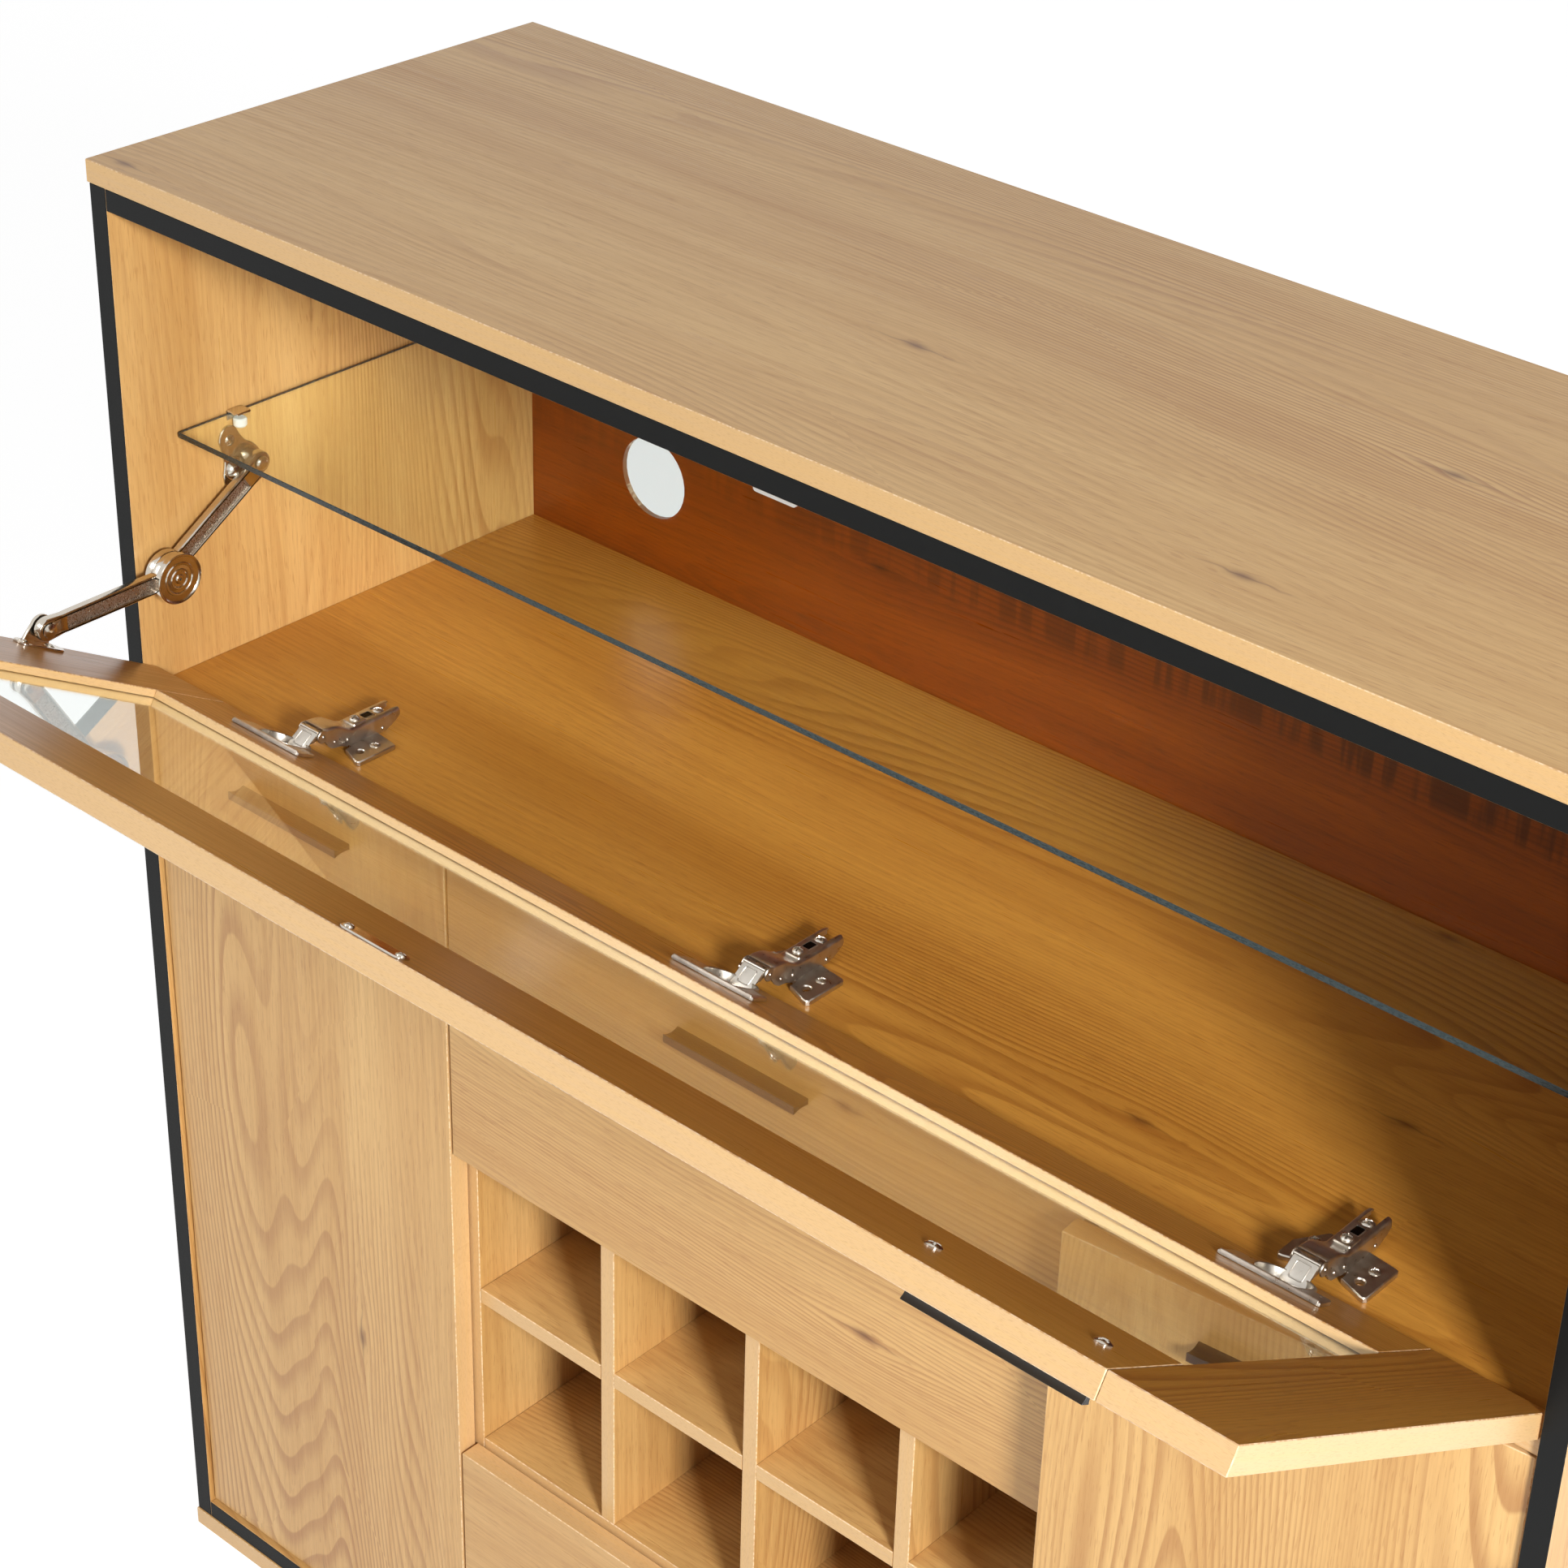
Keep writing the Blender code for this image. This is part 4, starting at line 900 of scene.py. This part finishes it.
# Pivots as (Y, Z) in metres. The elbow is where circles about them with the arms' lengths
# cross below the line between them.
wall_pivot, flap_pivot = np.array((-0.090, 0.879)), np.array((-0.2717884, 0.8281533))
upper_length, lower_length = 0.095, 0.101
upper_depth, lower_depth, cap_depth, plate_depth = -0.529, -0.5227, -0.5165, -0.5347
reach = np.linalg.norm(flap_pivot - wall_pivot)
along = (upper_length ** 2 - lower_length ** 2 + reach ** 2) / (2 * reach)
unit = (flap_pivot - wall_pivot) / reach
square = np.array((-unit[1], unit[0]))
elbow = wall_pivot + along * unit + math.sqrt(upper_length ** 2 - along ** 2) * square


def stay_seat(start, depth):
    """Local X runs from the pivot to the elbow, Y across it, Z away from the side panel."""
    run = (elbow - start) / np.linalg.norm(elbow - start)
    return laid((0, *run), (0, -run[1], run[0]), (1, 0, 0), (depth, *start))


def stay_arm(length, end=7.8, drum=15.6, neck=6.6, waist=6.8, hollow_half=4.9):
    """Outline and hollow of an arm: a round end, a waisted shank and the elbow's drum."""
    turn = np.linspace(np.pi / 2, 3 * np.pi / 2, 13)
    head = np.stack((end * np.cos(turn), end * np.sin(turn)), -1)
    opening = math.asin(neck / drum)
    turn = np.linspace(-np.pi + opening, np.pi - opening, 31)
    tail = np.stack((length + drum * np.cos(turn), drum * np.sin(turn)), -1)
    shank = np.array(((end + 4.0, -neck), (end + 10.0, -waist), (length - drum - 3.0, -waist)))
    outline = np.concatenate((head, shank, tail, shank[::-1] * (1, -1)))
    first, last = end + 7.0, length - drum - 1.0
    hollow = rounded_box((last - first) / 2, hollow_half, 1.6) + ((first + last) / 2, 0)
    return outline, hollow


for name, start, depth, length, body in (
        ("left_stay_upper_arm", wall_pivot, upper_depth, upper_length, "left_upper_arm"),
        ("left_stay_lower_arm", flap_pivot, lower_depth, lower_length, "left_lower_arm")):
    outline, hollow = stay_arm(length / mm)
    seat = stay_seat(start, depth)
    rim = holed_plate(outline, [hollow], ((0.5, 0), (0, 0.5), (0, 5.0), (0.4, 5.7), (1.0, 6.0)))
    bed = slab(np.ptp(hollow[:, 0]) / 2 - 0.02, 4.88, 1.6, ((0, 0), (0, 2.6)),
               (hollow[:, 0].mean(), 0, 1.2))
    make_piece(name + "_rim", [rim], seat, nickel, body, name)
    make_piece(name + "_bed", [bed], seat, hammered, body)

# The elbow's cap is turned in rings, with three dots on the outermost but one.
cap_profile = ((0.1, 3.2), (0.7, 3.2), (1.0, 4.6), (2.6, 4.6), (3.1, 4.2), (3.4, 3.7), (5.4, 3.7),
               (5.9, 4.4), (6.8, 4.5), (7.4, 3.8), (9.6, 3.6), (10.2, 4.2), (11.2, 4.3),
               (11.8, 3.6), (15.4, 3.6), (16.2, 4.3), (17.0, 4.6), (17.5, 4.1), (17.5, 0.6),
               (17.1, 0.2), (0.1, 0.2))
dot_ring, dot_angles = 11.0, (204, 216, 228)
cap_seat = stay_seat(flap_pivot, cap_depth) @ shift(lower_length, 0, 0)
dots = [moved(lathe(((0.8, 0.0), (0.6, 0.45), (0.1, 0.6)), 12),
              shift(dot_ring * math.cos(turn), dot_ring * math.sin(turn), 3.6))
        for turn in np.radians(dot_angles)]
make_piece("left_stay_elbow_cap", [lathe(cap_profile, 64), *dots], cap_seat, nickel,
           "left_lower_arm")


def smooth(corners, steps=4):
    """A closed cubic through all corners, whose slope at each is half the way from the
    corner before it to the corner after it."""
    share = np.linspace(0, 1, steps, endpoint=False)[:, None, None]
    before, after, later = (np.roll(corners, places, 0) for places in (1, -1, -2))
    curve = 0.5 * (2 * corners + (after - before) * share
                   + (2 * before - 5 * corners + 4 * after - later) * share ** 2
                   + (3 * corners - before - 3 * after + later) * share ** 3)
    return curve.transpose(1, 0, 2).reshape(-1, 2)


# The wall plate in millimetres about its pivot: X to the rear, Y up, Z off the side panel.
lobes = np.array(((-23, 26), (-18, 29), (-12, 27), (-8.5, 21), (-4, 15), (3, 10), (7.5, 4),
                  (8.5, -2), (6, -8), (0, -11), (-9, -12), (-17, -13), (-22, -10), (-23.5, -3),
                  (-22, 6), (-24, 14), (-25.5, 20)))
plate_seat = shift(plate_depth, *wall_pivot) @ outward
plate = holed_plate(smooth(lobes), [], ((0, 0), (0, 1.2), (0.5, 1.7)))
dome = moved(lathe(((7.5, 0), (7.2, 1.2), (6.2, 2.8), (4.2, 4.2), (2.0, 4.9), (0.1, 5.1))),
             shift(-15.0, -1.0, 1.2))
boss = lathe(((7.0, 0.5), (6.6, 5.6), (0.1, 5.6)))
pin_head = lathe(((3.2, 5.0), (3.2, 12.6), (5.0, 12.7), (4.6, 13.5), (3.2, 14.3), (1.2, 14.7),
                  (0.1, 14.7)))
plate_screws = [screw_head(3.8, 1.8, 0.5, place=(-17.0, 18.5, 1.4)),
                screw_head(3.4, 1.4, 1.0, place=(-8.0, -7.0, 1.4))]
make_piece("left_stay_wall_plate", [plate, dome, boss, pin_head, *plate_screws], plate_seat,
           nickel, "cabinet", "left_stay_wall_bracket")

# The flap's plate: a lug that stands off the stile and carries the pin, and a long foot
# that lies on the stile a little lower.
foot_side, foot_height, foot_lift, foot_drop = -0.5244, 0.115, 0.3 * mm, 3.0
lug_out, lug_radius = 13.0, 8.0
foot_seat = flap_turn @ shift(foot_side, face_back + foot_lift, flap_low + foot_height)
tongue = holed_plate(rounded_box(7.0, 19.0, 6.4, 8), [], ((0, 0), (0, 1.0), (0.5, 1.5)))
foot_screws = [screw_head(3.5, 1.4, 0.2, place=(0, y, 1.2)) for y in (-14.0, 8.5)]
foot = [moved(shell, shift(0, 0, -foot_drop) @ flat_back) for shell in (tongue, *foot_screws)]
arc = np.radians(np.linspace(0, 180, 13))
nose = np.stack((lug_out + lug_radius * np.sin(arc), lug_radius * np.cos(arc)), -1)
lug_outline = np.concatenate(([(0.6, 11.0), (4.0, 10.4)], nose, [(4.0, -10.4), (0.6, -11.0)]))
across = shift(-1.4, -0.3, 0) @ outward
lug = moved(holed_plate(lug_outline, [], ((0.3, -1.3), (0, -0.9), (0, 0.9), (0.3, 1.3))), across)
lug_pin = moved(lathe(((3.0, -1.0), (3.0, 10.0), (5.0, 10.0), (4.6, 10.9), (3.2, 11.7),
                       (1.2, 12.1), (0.1, 12.1))), across @ shift(lug_out, 0, 0))
make_piece("left_stay_flap_plate", [*foot, lug, lug_pin], foot_seat, nickel, "flap",
           "left_stay_flap_bracket")

low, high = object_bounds()
